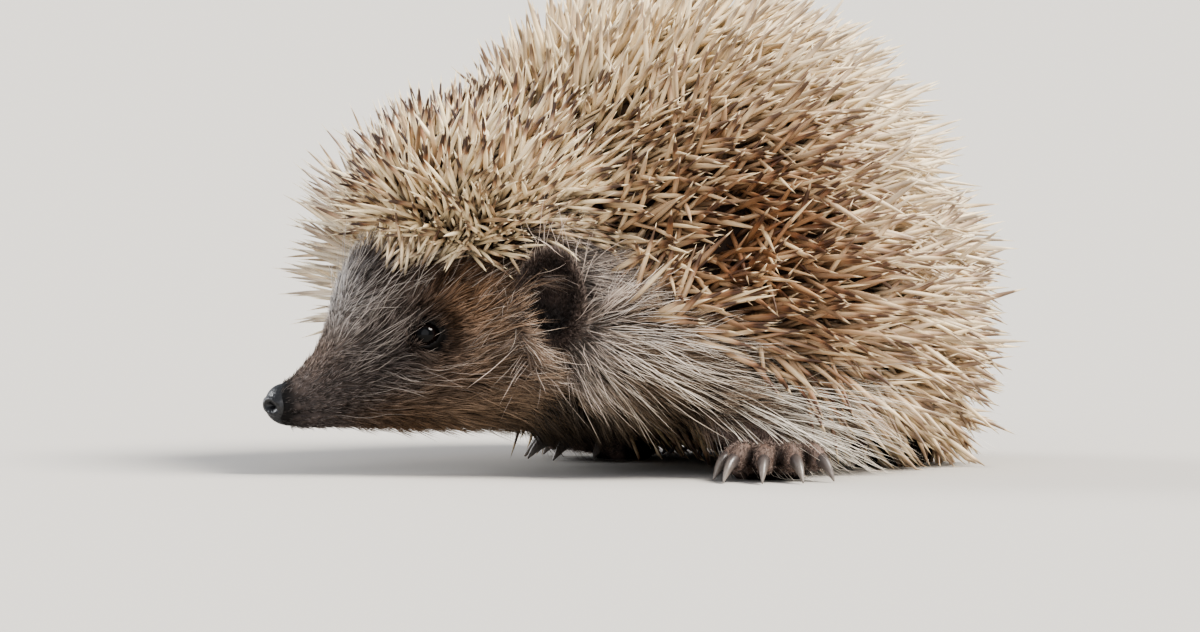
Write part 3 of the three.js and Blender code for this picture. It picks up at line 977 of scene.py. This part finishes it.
def hairTuft(hairs, spread, fan, rings, wave=0.0):  # hairs with three sides, a few to a tuft
    def make(random):
        parts = []
        for k in range(hairs):
            root = random.uniform(-spread, spread, 2)
            lean = root * 0.4 + random.uniform(-fan, fan, 2)
            patch = (k / hairs + 0.02, (k + 1) / hairs - 0.02)
            length, swing = random.uniform(0.7, 1.0), wave * random.uniform(0.4, 1.0)
            phase, own = random.uniform(0, 6.28), random.uniform(0, 1)
            parts.append(strand(rings, 3, lean, root, length, patch, swing, phase, own))
        return parts

    return make


downRings = [(0, 1.0), (1, 0)]
shortRings = [(0, 1.0), (0.5, 0.85), (1, 0)]
longRings = [(0, 0.8), (0.3, 1.0), (0.65, 0.8), (1, 0)]
wavyRings = [(0, 0.8), (0.2, 1.0), (0.42, 1.0), (0.62, 0.9), (0.82, 0.6), (1, 0)]
strands = {
    "spines": strandCollection("spineStrand", oneSpine, 6, 3),
    "down": strandCollection("downTuft", hairTuft(3, 4.5, 6, downRings), 4, 4),
    "short": strandCollection("shortTuft", hairTuft(3, 5, 10, shortRings), 6, 5),
    "long": strandCollection("longTuft", hairTuft(3, 7, 22, longRings, 5), 6, 7),
    "wild": strandCollection("wildHair", hairTuft(1, 0, 26, wavyRings, 12), 8, 9),
}


patchSize = 0.003  # how much of the skin's map one tuft covers
spareFields = (
    "lie", "lift", "reach", "girth", "stray", "bend", "bent", "amount", "rootPlace", "patch", "own",
)


def dropField(mesh, label):
    if mesh.attributes.get(label):
        mesh.attributes.remove(mesh.attributes[label])


def grow(  # density: strands per square millimetre
    name, fields, amount, material, seed, density, tree=looseTree, spacing=1.0, kind="short", uneven=0.3,
    unevenGirth=0.2, slot="fur",
):
    roots = addObject(name, skin.data.copy())
    dropField(roots.data, "tint")
    for label, values in {**fields, "amount": amount}.items():
        addField(roots.data, label, values)
    modifier = roots.modifiers.new("growth", "NODES")
    modifier.node_group = tree
    values = {
        "Density": density * 1e6, "Spacing": spacing * mm, "Seed": seed, "Uneven Length": uneven,
        "Uneven Girth": unevenGirth, "Patch": patchSize, "Strands": strands[kind], "Finish": material,
    }
    for item in tree.interface.items_tree:
        if item.in_out == "INPUT" and item.name in values:
            modifier[item.identifier] = values[item.name]
    finished(roots)
    for label in spareFields:
        dropField(roots.data, label)
    print("grown", name, sum(len(p.vertices) - 2 for p in roots.data.polygons), "triangles")
    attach(roots, "root")


# ---- materials ----
def newMaterial(name):
    material = bpy.data.materials.new(name)
    material.use_nodes = True
    tree = material.node_tree
    return material, tree, tree.nodes["Principled BSDF"]


def attribute(tree, name, output="Fac"):
    return addNode(tree, "ShaderNodeAttribute", attribute_name=name).outputs[output]


def between(tree, value, start, end, low=0.0, high=1.0):
    inputs = {0: value, 1: start, 2: end, 3: low, 4: high}
    return addNode(tree, "ShaderNodeMapRange", inputs, interpolation_type="SMOOTHSTEP").outputs[0]


def blend(tree, share, first, second, kind="MIX"):
    inputs = {0: share, 6: first, 7: second}
    return addNode(tree, "ShaderNodeMix", inputs, data_type="RGBA", blend_type=kind).outputs[2]


def grey(tree, value):
    return addNode(tree, "ShaderNodeCombineColor", {0: value, 1: value, 2: value}).outputs[0]


def plain(code):
    return (*colour(code), 1.0)


def pattern(tree, kind, inputs, **settings):  # Noise or Voronoi, on the object's own coordinates
    place = addNode(tree, "ShaderNodeTexCoord").outputs["Object"]
    return addNode(tree, "ShaderNodeTex" + kind, {"Vector": place, **inputs}, **settings).outputs[0]


def bump(tree, heights, distance, strength, **settings):
    inputs = {"Height": heights, "Distance": distance, "Strength": strength}
    return addNode(tree, "ShaderNodeBump", inputs, **settings).outputs[0]


def strandShade():  # darker at the root, paler at the tip, and each strand its own shade
    tree = bpy.data.node_groups.new("strandShade", "ShaderNodeTree")
    face = tree.interface
    face.new_socket("Tint", in_out="INPUT", socket_type="NodeSocketColor")
    for label in ("Along", "Chance", "Root", "Tip", "Uneven"):
        face.new_socket(label, in_out="INPUT", socket_type="NodeSocketFloat")
    face.new_socket("Colour", in_out="OUTPUT", socket_type="NodeSocketColor")
    given = addNode(tree, "NodeGroupInput").outputs
    swing = sums(tree, "MULTIPLY_ADD", given["Chance"], 2.0, -1.0)
    factor = sums(tree, "MULTIPLY_ADD", swing, given["Uneven"], 1.0)
    inputs = {0: given["Along"], 3: given["Root"], 4: given["Tip"]}
    bright = addNode(tree, "ShaderNodeMapRange", inputs).outputs[0]
    shade = grey(tree, sums(tree, "MULTIPLY", factor, bright))
    addNode(tree, "NodeGroupOutput", {"Colour": blend(tree, 1.0, given["Tint"], shade, "MULTIPLY")})
    return tree


shadeGroup = strandShade()


def hairMaterial(name, root, tip, uneven):
    material, tree, surface = newMaterial(name)
    inputs = {
        "Tint": attribute(tree, "tint", "Color"), "Along": attribute(tree, "along"),
        "Chance": attribute(tree, "chance"), "Root": root, "Tip": tip, "Uneven": uneven,
    }
    shaded = addNode(tree, "ShaderNodeGroup", inputs, node_tree=shadeGroup).outputs[0]
    feed(tree, surface, {"Base Color": shaded, "Roughness": 0.5, "Specular IOR Level": 0.35})
    return material


spineLook = {
    # root is painted shade: the dark near the spines' roots that stands for the shade in the gaps between
    # them
    "brown": "a07a58", "pale": "e9d6b0", "root": "4e3828",
    "wash": "7b4a31", "band": "3b281f", "tip": "d6c4a0",
    "washRises": (0.5, 0.72), "bandRises": (0.66, 0.77),
    "bandFalls": (0.87, 0.92), "tipStarts": (0.87, 0.93), "roughness": (0.32, 0.48),
}


def spineMaterial():
    material, tree, surface = newMaterial("bandedSpine")

    def times(first, second):
        return sums(tree, "MULTIPLY", first, second)

    along, chance = attribute(tree, "along"), attribute(tree, "chance")
    other, third = (sums(tree, "FRACT", times(chance, factor)) for factor in (7.31, 23.7))
    place = sums(tree, "SUBTRACT", along, sums(tree, "MULTIPLY_ADD", other, 0.12, -0.06))
    tint, dark = attribute(tree, "tint", "Color"), attribute(tree, "dark")
    brown = times(between(tree, third, 0.35, 1.0, 0.0, 0.75), dark)
    shaft = blend(tree, brown, tint, plain(spineLook["brown"]))
    pale = times(between(tree, other, 0.5, 0.9, 0.0, 0.7), between(tree, along, 0.35, 0.75))
    shaft = blend(tree, pale, shaft, plain(spineLook["pale"]))
    # painted shade: each spine darkens towards its root with the root colour, for the shade in the gaps
    # between the spines; dark sets how strong it is
    deep = times(between(tree, along, 0.05, 0.5, 0.9, 0.0), dark)
    shaft = blend(tree, deep, shaft, plain(spineLook["root"]))
    fall = between(tree, place, *spineLook["bandFalls"], 1.0, 0.0)
    share = times(times(between(tree, chance, 0.12, 0.5), fall), dark)
    warm = times(between(tree, place, *spineLook["washRises"], 0.0, 0.8), share)
    shaft = blend(tree, warm, shaft, plain(spineLook["wash"]))
    band = times(between(tree, place, *spineLook["bandRises"]), share)
    shaft = blend(tree, band, shaft, plain(spineLook["band"]))
    paleTip = blend(tree, 0.5, tint, plain(spineLook["tip"]))
    shaft = blend(tree, between(tree, place, *spineLook["tipStarts"]), shaft, paleTip)
    shade = grey(tree, sums(tree, "MULTIPLY_ADD", other, 0.4, 0.78))
    worn = pattern(tree, "Noise", {"Scale": 700.0})
    feed(tree, surface, {
        "Base Color": blend(tree, 1.0, shaft, shade, "MULTIPLY"),
        "Roughness": between(tree, worn, 0.3, 0.7, *spineLook["roughness"]), "Specular IOR Level": 0.5,
    })
    return material


hideLook = {
    "dark": (0.36, 0.32, 0.3, 1), "light": (0.64, 0.6, 0.58, 1),  # shares of the tint
    # underSpines is painted shade: the skin darkened where the spines cover and shade it
    "underSpines": "4c3b2e", "bare": "0f0b0a", "roughness": (0.55, 0.75),
}


def hideMaterial():
    material, tree, surface = newMaterial("hide")
    patchy = pattern(tree, "Noise", {"Scale": 420.0, "Detail": 6.0})
    pores = pattern(tree, "Voronoi", {"Scale": 1500.0})
    tint = attribute(tree, "tint", "Color")
    dark, light = (blend(tree, 1.0, tint, hideLook[name], "MULTIPLY") for name in ("dark", "light"))
    heights = sums(tree, "ADD", sums(tree, "MULTIPLY", patchy, 0.6), sums(tree, "MULTIPLY", pores, 0.4))
    feed(tree, surface, {
        "Base Color": blend(tree, between(tree, patchy, 0.35, 0.65), dark, light),
        "Roughness": between(tree, patchy, 0.3, 0.7, *hideLook["roughness"]),
        "Normal": bump(tree, heights, 0.0003, 0.5), "Specular IOR Level": 0.2,
    })
    return material


furFinish = hairMaterial("faceFur", 0.4, 1.5, 0.6)
paleFinish = hairMaterial("paleHair", 0.6, 1.25, 0.3)
downFinish = hairMaterial("earDown", 0.6, 1.4, 0.5)
spineFinish = spineMaterial()

bareSkin = np.maximum(1 - ramp(eyeAway, 3.6, 5.2), 1 - ramp(noseAway, 4.5, 5.8))
# the hide's tint: painted shade under the spines, and the bare dark skin round the eyes and the nose
addField(skin.data, "tint", painted(tints, hideLook, [("underSpines", spiny), ("bare", bareSkin)]))
finishPiece(skin, hideMaterial(), "fur", "trunk", "head", "neck", "tail", "ear_left", "ear_right", *paws)
print("skin finished")

# ---- spines ----
spines = {
    "girth": 0.56, "length": 17, "onCrown": 15, "atMargin": 11, "onHood": 19,
    "slices": [-34, -14, 6, 26, 44],  # where along the body one piece ends and the next begins
    "growth": {"density": 1.9, "spacing": 1.27, "uneven": 0.18, "unevenGirth": 0.22},
}
browSpines = {
    "girth": 0.36, "length": 8.5, "lift": 30, "stray": 0.55, "dark": 0.65, "colour": "f8e7c6",
    "growth": {"density": 3.2, "spacing": 0.95, "uneven": 0.25},
}
asSpines = {"tree": evenTree, "kind": "spines", "slot": "spines"}
nearMargin = (1 - ramp(overMargin, 0, 12)) * crown
lengths = spines["length"] + (spines["onCrown"] - spines["length"]) * crown
lengths = lengths + (spines["atMargin"] - lengths) * nearMargin
lengths = lengths + (spines["onHood"] - lengths) * hood
lift = 34 + 8 * crown - 16 * nearMargin * (1 - hood) - 8 * (1 - ramp(height, 12, 40))
# paleBehind: fewer dark bands and less painted root shade towards the rump and on top of the back; partly
# painted light, making the top of the back paler as if lit from above
paleBehind = (0.3 + 0.3 * ramp(height, 38, 60)) * ramp(points[:, 1], 4, 34)
paleBehind = np.maximum(paleBehind, 0.4 * ramp(height, 60, 80))
spineFields = {
    "lie": spineLie(), "lift": np.radians(lift), "reach": lengths * mm, "tint": spineColours(),
    "girth": spines["girth"] * mm * (1 - 0.1 * crown - 0.2 * np.maximum(nearMargin, hood)),
    "stray": 0.58 - 0.1 * (1 - ramp(height, 8, 22)) + 0.1 * parting - 0.15 * hood,
    "bend": normals * 0.03 - upward * 0.05,
    # dark: how strong the brown, the dark bands and the painted root shade are; the smaller amount on the
    # hood is painted backlight
    "dark": 0.85 + 0.15 * crown - paleBehind - 0.5 * hood - 0.2 * nearMargin * (1 - hood),
}
borders = [-1e3, *spines["slices"], 1e3]
for i in range(len(borders) - 1):
    inSlice = (points[:, 1] >= borders[i]) & (points[:, 1] < borders[i + 1])
    amount = spiny * inSlice * (1 - 0.85 * parting)
    grow(f"spines{i + 1}", spineFields, amount, spineFinish, 20 + i, **spines["growth"], **asSpines)
overBrow = ramp(overMargin, -1, 0) * (1 - ramp(overMargin, 10, 18)) * isHead * (1 - onEar) * (along > -6)
browFields = {
    **spineFields, "reach": (browSpines["length"] + 4 * ramp(overMargin, 4, 12)) * mm,
    "girth": browSpines["girth"] * (1 + 0.25 * ramp(overMargin, 4, 12)) * mm,
    "lift": math.radians(browSpines["lift"]), "stray": browSpines["stray"], "dark": browSpines["dark"],
    "tint": colour(browSpines["colour"]),
}
grow("browSpines", browFields, overBrow, spineFinish, 31, **browSpines["growth"], **asSpines)

# ---- short fur on the face, and sparse long hairs through it ----
lieOfHair = hairFlow()


def coatFields(look, reach, tint, bend, lie=lieOfHair):
    return {
        "lie": lie, "lift": np.radians(look["lift"]), "reach": reach * mm, "girth": look["girth"] * mm,
        "stray": look["stray"], "tint": tint, "bend": bend,
    }


faceHair = {
    "lift": 20, "girth": 0.075, "stray": 0.24, "growth": {"density": 2.3, "uneven": 0.4},
    "reach": [(0, 8.5), (10, 7), (20, 5.5), (30, 4.2), (40, 2.8), (47, 1.6), (52, 1.0)],  # by place along
    "thickness": [(5, 1.15), (30, 1.0), (50, 0.7)],
}
guardHair = {
    "lift": 20, "girth": 0.06, "stray": 0.2, "length": 9.5, "colour": "c4bab0",
    "growth": {"density": 0.5, "kind": "wild", "uneven": 0.4, "unevenGirth": 0.3},
}
bare = (1 - ramp(noseAway, 4.2, 4.9)) + (1 - ramp(eyeAway, 2.9, 3.6))
faceZone = face * (1 - spiny * 0.85) * (1 - onEar) * np.clip(1 - bare, 0, 1) * (1 - limbs)
faceZone = faceZone * (1 + 0.9 * bell(eyeAway - 5.5, 2.5))
reachFace = np.interp(along, *zip(*faceHair["reach"])) * (1 - 0.5 * bell(eyeAway, 6))
reachFace = reachFace + 1.5 * ramp(-normals[:, 2], 0.2, 0.7) * (1 - ramp(along, 30, 42))
faceFields = coatFields(faceHair, reachFace, tints, lieOfHair * 0.15 - normals * 0.12)
faceFields["girth"] = np.interp(along, *zip(*faceHair["thickness"])) * faceHair["girth"] * mm
guardZone = faceZone * ramp(eyeAway, 5, 9) * (1 - ramp(along, 36, 44)) * (1 - ramp(-normals[:, 2], 0.1, 0.5))
guardPale = 0.35 + 0.3 * ramp(height, 29, 36) - 0.45 * ramp(height, 37, 43)
guardTint = mixed(tints * 1.25, colour(guardHair["colour"]), guardPale)
guardFields = coatFields(guardHair, guardHair["length"], guardTint, lieOfHair * 0.2 - normals * 0.1)
for name, seed, onSide in (("Left", 61, left >= 0), ("Right", 62, left < 0)):
    grow("faceFur" + name, faceFields, faceZone * onSide, furFinish, seed, **faceHair["growth"])
    grow("faceGuard" + name, guardFields, guardZone * onSide, paleFinish, seed + 4, **guardHair["growth"])

# ---- hair on the neck, the shoulders and along the flanks: brown below, long and pale over it ----
skirt = {
    "lift": 18, "girth": 0.1, "stray": 0.22, "length": 10,
    "growth": {"density": 1.5, "uneven": 0.35, "unevenGirth": 0.3},
}
paleHair = {
    "lift": 12, "girth": 0.064, "stray": 0.24, "length": 22,
    "reach": [(-30, 1.0), (-8, 1.0), (4, 0.8), (14, 0.45)],  # share of the length, by place along the head
    # chest: painted shade, a darker tone for the pale hair low on the chest, where it lies in shade
    "side": "c9bdae", "end": "ece5da", "upper": "e6dcd2", "chest": "8c7f71",
    "growth": {"density": 1.9, "kind": "wild", "uneven": 0.35, "unevenGirth": 0.35},
}
skirtZone = (1 - ramp(along, 4, 14)) * (1 - ramp(overMargin, 0, 4)) * (1 - onEar) * (1 - isTail)
skirtZone = skirtZone * (1 - isBelly) * (1 - ramp(limbs, 0.05, 0.65))
atFront = ramp(-points[:, 1], -6, 6)
atChest, lowChest = (1 - ramp(height, 13, 25)) * atFront, (1 - ramp(height, 10, 17)) * atFront
atEnd = ramp(points[:, 1], 2, 24)  # towards the pale lock behind the forefoot
# painted shade: the brown hair low on the chest darkened to half, for the shade under the chest
brownTint, brownReach = mixed(tints, tints * 0.5, lowChest), skirt["length"] * (1 - 0.4 * lowChest)
brownFields = coatFields(skirt, brownReach, brownTint, lieOfHair * 0.1 - upward * 0.03)
reachPale = np.interp(along, *zip(*paleHair["reach"])) * paleHair["length"]
reachPale = reachPale * (1 - 0.45 * ramp(height, 24, 34)) * (1 - 0.6 * atChest)
reachPale = reachPale * (1 - 0.4 * ramp(-fromSide, 28, 44) * (1 - ramp(height, 20, 28)))
parts = [("end", atEnd), ("upper", ramp(height, 23, 31)), ("chest", atChest)]
palest = painted(everywhere(paleHair["side"]), paleHair, parts)
paleTint = mixed(tints, palest, 0.55 + 0.45 * ramp(-along, 0, 12))
paleFields = coatFields(paleHair, reachPale, paleTint, lieOfHair * 0.1 - upward * 0.04)
paleZone = skirtZone * (0.5 + 0.7 * atEnd + 0.8 * ramp(height, 24, 32)) * (1 - 0.7 * lowChest)
onLeft = points[:, 0] >= trunk["centre"][0]
for name, seed, onSide in (("Left", 71, onLeft), ("Right", 72, ~onLeft)):
    grow("skirt" + name, brownFields, skirtZone * onSide, furFinish, seed, **skirt["growth"])
    grow("paleHair" + name, paleFields, paleZone * onSide, paleFinish, seed + 4, **paleHair["growth"])

# ---- a pale lock on each side, over the lowest spines behind the forefoot ----
lock = {
    "lift": 20, "girth": 0.08, "stray": 0.18, "length": 30, "slope": 0.4, "colour": "e2dacd",
    "growth": {"density": 2.1, "kind": "wild", "uneven": 0.35, "unevenGirth": 0.3},
}
lockZone = bell(fromSide - 6, 12) * ramp(height, 9, 12) * (1 - ramp(overMargin, -7, -2))
lockZone = lockZone * (1 - limbs) * (1 - isBelly)
lockLie = tangent(np.array([0, 1.0, -lock["slope"]]))
lockFields = coatFields(lock, lock["length"], colour(lock["colour"]), -upward * 0.12, lockLie)
grow("paleLocks", lockFields, lockZone, paleFinish, 78, **lock["growth"])

# ---- hair under the belly, on the legs and on the tail ----
bellyHair = {
    "lift": 28, "chestLift": 24, "girth": 0.11, "stray": 0.25, "length": 7.5, "growth": {"density": 0.55},
}
legHair = {
    "lift": 18, "girth": 0.06, "stray": 0.18, "length": 4, "onFoot": 1.5, "solesEnd": 1.2,
    "growth": {"density": 3.2, "kind": "down"},
}
bellyZone = np.clip(isBelly * (1 - limbs) + isTail, 0, 1) * (1 - onEar)
chest = ramp(along, -16, -8) * (1 - ramp(along, 3, 7)) * (1 - limbs)
# painted shade: the hair under the chest darkened to about a third, for the shade there
bellyReach, bellyTint = bellyHair["length"] - 3 * isTail + chest, mixed(tints, tints * 0.35, chest)
bellyFields = coatFields(bellyHair, bellyReach, bellyTint, lieOfHair * 0.2 - upward * 0.1)
bellyFields["lift"] = np.radians(bellyHair["lift"] + bellyHair["chestLift"] * chest)
grow("bellyHair", bellyFields, bellyZone, furFinish, 81, **bellyHair["growth"])
legReach = legHair["onFoot"] + (legHair["length"] - legHair["onFoot"]) * ramp(height, 6, 11)
legReach = legReach * (1 - 0.4 * ramp(betweenToes, 1.5, 2.5) * (1 - ramp(height, 6, 8)))
legFields = coatFields(legHair, legReach, tints, -normals * 0.1)
grow("legFur", legFields, limbs * (height > legHair["solesEnd"]), furFinish, 82, **legHair["growth"])

# ---- ears: fine down, and pale hairs around ----
earHair = {"lift": 30, "girth": 0.05, "stray": 0.3, "length": 2.2, "growth": {"density": 6, "kind": "down"}}
fringe = {
    "lift": 22, "girth": 0.06, "stray": 0.34, "length": 12, "colour": "d8c8bc",
    "growth": {"density": 1.1, "kind": "wild", "uneven": 0.35},
}
earFields = coatFields(earHair, earHair["length"], tints, -normals * 0.1)
grow("earDown", earFields, onEar, downFinish, 91, **earHair["growth"])
earReach = np.minimum(*(np.linalg.norm(earPlace(points, s) * [1, 0.4, 1], axis=1) for s in (1, -1)))
fringeZone = ramp(earReach, 0.9, 1.05) * (1 - ramp(earReach, 1.5, 2.0))
fringeZone = fringeZone * (1 - ramp(along, 3, 8)) * (height > 20)
fringeFields = coatFields(fringe, fringe["length"], colour(fringe["colour"]), lieOfHair * 0.1 - upward * 0.05)
grow("earFringe", fringeFields, fringeZone, paleFinish, 92, **fringe["growth"])

# ---- whiskers ----
whisker = {
    "lift": 32, "girth": 0.065, "stray": 0.22, "length": 16, "colour": "2c2420",
    "growth": {"density": 0.4, "kind": "wild"},
}
whiskerZone = bell(along - 44, 3.0) * bell(height - 17, 1.6) * (np.abs(left) > 3)
whiskerLie = tangent(-forward + 0.3 * sideOf[:, None] * leftward + 0.15 * upward)
whiskerBend = -upward * 0.1 - forward * 0.15
whiskerFields = coatFields(whisker, whisker["length"], colour(whisker["colour"]), whiskerBend, whiskerLie)
grow("whiskers", whiskerFields, whiskerZone, furFinish, 95, **whisker["growth"])


# ---- eyes ----
eyeball = {
    "corneaBulge": 0.25, "corneaReach": 2.0, "pupil": (1.2, 2.2),
    "dark": (0.001, 0.001, 0.001, 1), "iris": ((0.004, 0.002, 0.0015, 1), (0.008, 0.004, 0.003, 1)),
}


def eyeMaterial():
    material, tree, surface = newMaterial("wetEye")
    ring = between(tree, attribute(tree, "fromPupil"), *eyeball["pupil"])
    iris = blend(tree, pattern(tree, "Noise", {"Scale": 1600.0}), *eyeball["iris"])
    feed(tree, surface, {
        "Base Color": blend(tree, ring, eyeball["dark"], iris), "Roughness": 0.08, "Specular IOR Level": 0.2,
    })
    return material


eyeFinish = eyeMaterial()
for name, side in (("left", 1), ("right", -1)):
    ballPoints, ballFaces = ball(5)
    centre, out, _, _ = eyeFrame(side)
    facing = ballPoints @ out
    distance = np.sqrt(np.clip(1 - facing**2, 0, None)) * eyeRadius
    bulge = 1 + eyeball["corneaBulge"] / eyeRadius * bell(distance, eyeball["corneaReach"]) * (facing > 0)
    placed = ballPoints * (eyeRadius - eyeball["corneaBulge"]) * bulge[:, None] + centre
    obj = addObject("eyeball" + name.capitalize(), meshOf("eyeball", [(placed, ballFaces)]))
    addField(obj.data, "fromPupil", distance + 9 * (facing < 0))
    finishPiece(obj, eyeFinish, "eye", "eye_" + name)
print("eyes made")


# ---- nose ----
nose = {
    "radii": (4.2, 4.25, 4.2), "nostril": (2.35, -0.35), "nostrilDepth": 1.5, "nostrilWidth": 0.85,
    "wing": (0.45, 1.55, 0.6), "groove": (0.45, 0.35),  # height, place and width; depth and width
    "tones": ((0.017, 0.017, 0.019, 1), (0.007, 0.007, 0.008, 1)), "roughness": (0.25, 0.45),
}


def noseMaterial():
    material, tree, surface = newMaterial("wetNose")
    pebbles = pattern(tree, "Voronoi", {"Scale": 2300.0}, feature="SMOOTH_F1")
    feed(tree, surface, {
        "Base Color": blend(tree, between(tree, pebbles, 0.1, 0.6), *nose["tones"]),
        "Roughness": between(tree, pebbles, 0.1, 0.7, *nose["roughness"]),
        "Normal": bump(tree, pebbles, 0.00012, 0.7, invert=True), "Specular IOR Level": 0.45,
    })
    return material


def noseShape():
    local, faces = ball(6)  # x ahead, y to the left, z up
    local = local * nose["radii"]
    x, y, z = local.T
    aside, up = nose["nostril"]
    away = np.hypot(np.abs(y) - aside - 0.35 * np.clip(-z, 0, 2), (z - up) * 1.15)
    dent = nose["nostrilDepth"] * bell(away, nose["nostrilWidth"]) * ramp(x, 0.6, 2.2)
    rise, place, width = nose["wing"]
    rim = rise * bell(away - place, width) * ramp(x, 0.2, 1.6)
    depth, width = nose["groove"]
    groove = depth * bell(y, width) * ramp(x, 1, 2.5) * (1 - ramp(z, 1.2, 2.4))
    local = local + unit(local) * (rim - groove - dent)[:, None]
    return local @ np.stack([forward, leftward, upward]) + noseCentre, faces


nosePad = addObject("nosePad", meshOf("nosePad", [noseShape()]))
finishPiece(nosePad, noseMaterial(), "nose", "nose")
print("nose made")

# ---- claws ----
claw = {
    "root": 1.4, "outer": 0.85, "sides": 14, "steps": 20,
    "rise": (0.7, 0.9, 0.2, -1.2, -3.1), "radius": (1.45, 1.5, 1.25, 0.85, 0.15), "flatness": 0.85,
    "base": "3a3535", "tip": "7b736c", "streak": "4b413d", "roughness": (0.25, 0.42),
}


def clawMaterial():
    material, tree, surface = newMaterial("horn")
    cloud = pattern(tree, "Noise", {"Scale": 500.0, "Detail": 5.0})
    towardsTip = between(tree, attribute(tree, "along"), 0.2, 1.0)
    tipped = blend(tree, towardsTip, plain(claw["base"]), plain(claw["tip"]))
    feed(tree, surface, {
        "Base Color": blend(tree, between(tree, cloud, 0.4, 0.62, 0.0, 0.5), tipped, plain(claw["streak"])),
        "Roughness": between(tree, cloud, 0.3, 0.7, *claw["roughness"]),
        "Normal": bump(tree, cloud, 0.0002, 0.4),
    })
    return material


clawFinish = clawMaterial()
last, sides, steps = len(claw["rise"]) - 1, claw["sides"], claw["steps"]
shares = np.append(np.repeat(np.linspace(0, 1, steps + 1), sides), [0, 1])
for name, paw in paws.items():
    for i in range(toe["count"]):
        _, tip, direction, spread, _ = toeLine(paw, i)
        size = paw["claw"] * (claw["outer"] if abs(spread) == 1 else 1)
        stations = []
        for k, (rise, radius) in enumerate(zip(claw["rise"], claw["radius"])):
            at = tip + direction * (size * k / last - claw["root"]) + upward * rise
            stations.append((*at, radius * claw["flatness"], radius))
        shape = tube(stations, np.cross(direction, upward), sides, steps)
        obj = addObject(f"claw_{name}_{i + 1}_horn", meshOf("horn", [shape]))
        addField(obj.data, "along", shares)
        shell = bmesh.new()
        shell.from_mesh(obj.data)
        bmesh.ops.recalc_face_normals(shell, faces=shell.faces[:])
        shell.to_mesh(obj.data)
        shell.free()
        finishPiece(obj, clawFinish, "claw", f"claw_{name}_{i + 1}")
print("claws made")

# ---- floor, light and camera ----
stage = {"radius": 60.0, "sides": 96, "colour": (0.5, 0.48, 0.45, 1), "roughness": 0.9, "specular": 0.1}
ringPoints = []
for t in np.linspace(0, 2 * math.pi, stage["sides"], endpoint=False):
    ringPoints.append((stage["radius"] * math.cos(t), stage["radius"] * math.sin(t), 0))
floorMesh = bpy.data.meshes.new("floor")
floorMesh.from_pydata(ringPoints, [], [tuple(range(stage["sides"]))])
floor = addObject("floor", floorMesh)
floorMaterial, tree, surface = newMaterial("paleFloor")
feed(tree, surface, {
    "Base Color": stage["colour"], "Roughness": stage["roughness"], "Specular IOR Level": stage["specular"],
})
floorMesh.materials.append(floorMaterial)

view = {
    "target": (-9.865, -4.566, 30.6),  # what the middle of the picture looks at
    "azimuth": 60, "elevation": 2.5, "distance": 1.8, "lens": 264.6, "sensor": 36, "farthest": 200,
}
azimuth, elevation = math.radians(view["azimuth"]), math.radians(view["elevation"])
outward = math.cos(elevation)
backward = np.array([math.sin(azimuth) * outward, -math.cos(azimuth) * outward, math.sin(elevation)])
rightward = np.array([math.cos(azimuth), math.sin(azimuth), 0])


def aimedFrom(direction):
    return Vector(-direction).to_track_quat("-Z", "Y").to_euler()


camera = addObject("camera", bpy.data.cameras.new("camera"))
camera.data.lens, camera.data.sensor_width = view["lens"], view["sensor"]
camera.data.clip_end = view["farthest"]
camera.location = Vector(np.array(view["target"]) * mm + backward * view["distance"])
camera.rotation_euler = aimedFrom(backward)
bpy.context.scene.camera = camera

lamps = {  # where each shines from (right, towards the camera, up), softness in degrees, strength, colour
    "key": ((0.75, 0.35, 1.0), 28, 6.8, (1.0, 0.955, 0.88)),
    "fill": ((-0.1, 1.0, 0.3), 70, 1.7, (0.98, 0.98, 1.0)),
    "rim": ((-0.9, -0.4, 0.5), 30, 2.6, (0.98, 0.99, 1.0)),
}
level = unit(backward * [1, 1, 0])
for name, ((aside, near, high), soft, strength, tone) in lamps.items():
    lamp = addObject(name, bpy.data.lights.new(name, "SUN"))
    lamp.data.angle, lamp.data.energy, lamp.data.color = math.radians(soft), strength, tone
    lamp.rotation_euler = aimedFrom(rightward * aside + level * near + upward * high)

room = {"Color": (0.85, 0.9, 1.0, 1), "Strength": 0.6}
world = bpy.data.worlds.new("room")
bpy.context.scene.world = world
world.use_nodes = True
feed(world.node_tree, world.node_tree.nodes["Background"], room)

bpy.context.scene.view_settings.look = "AgX - Medium High Contrast"

print("scene ready")
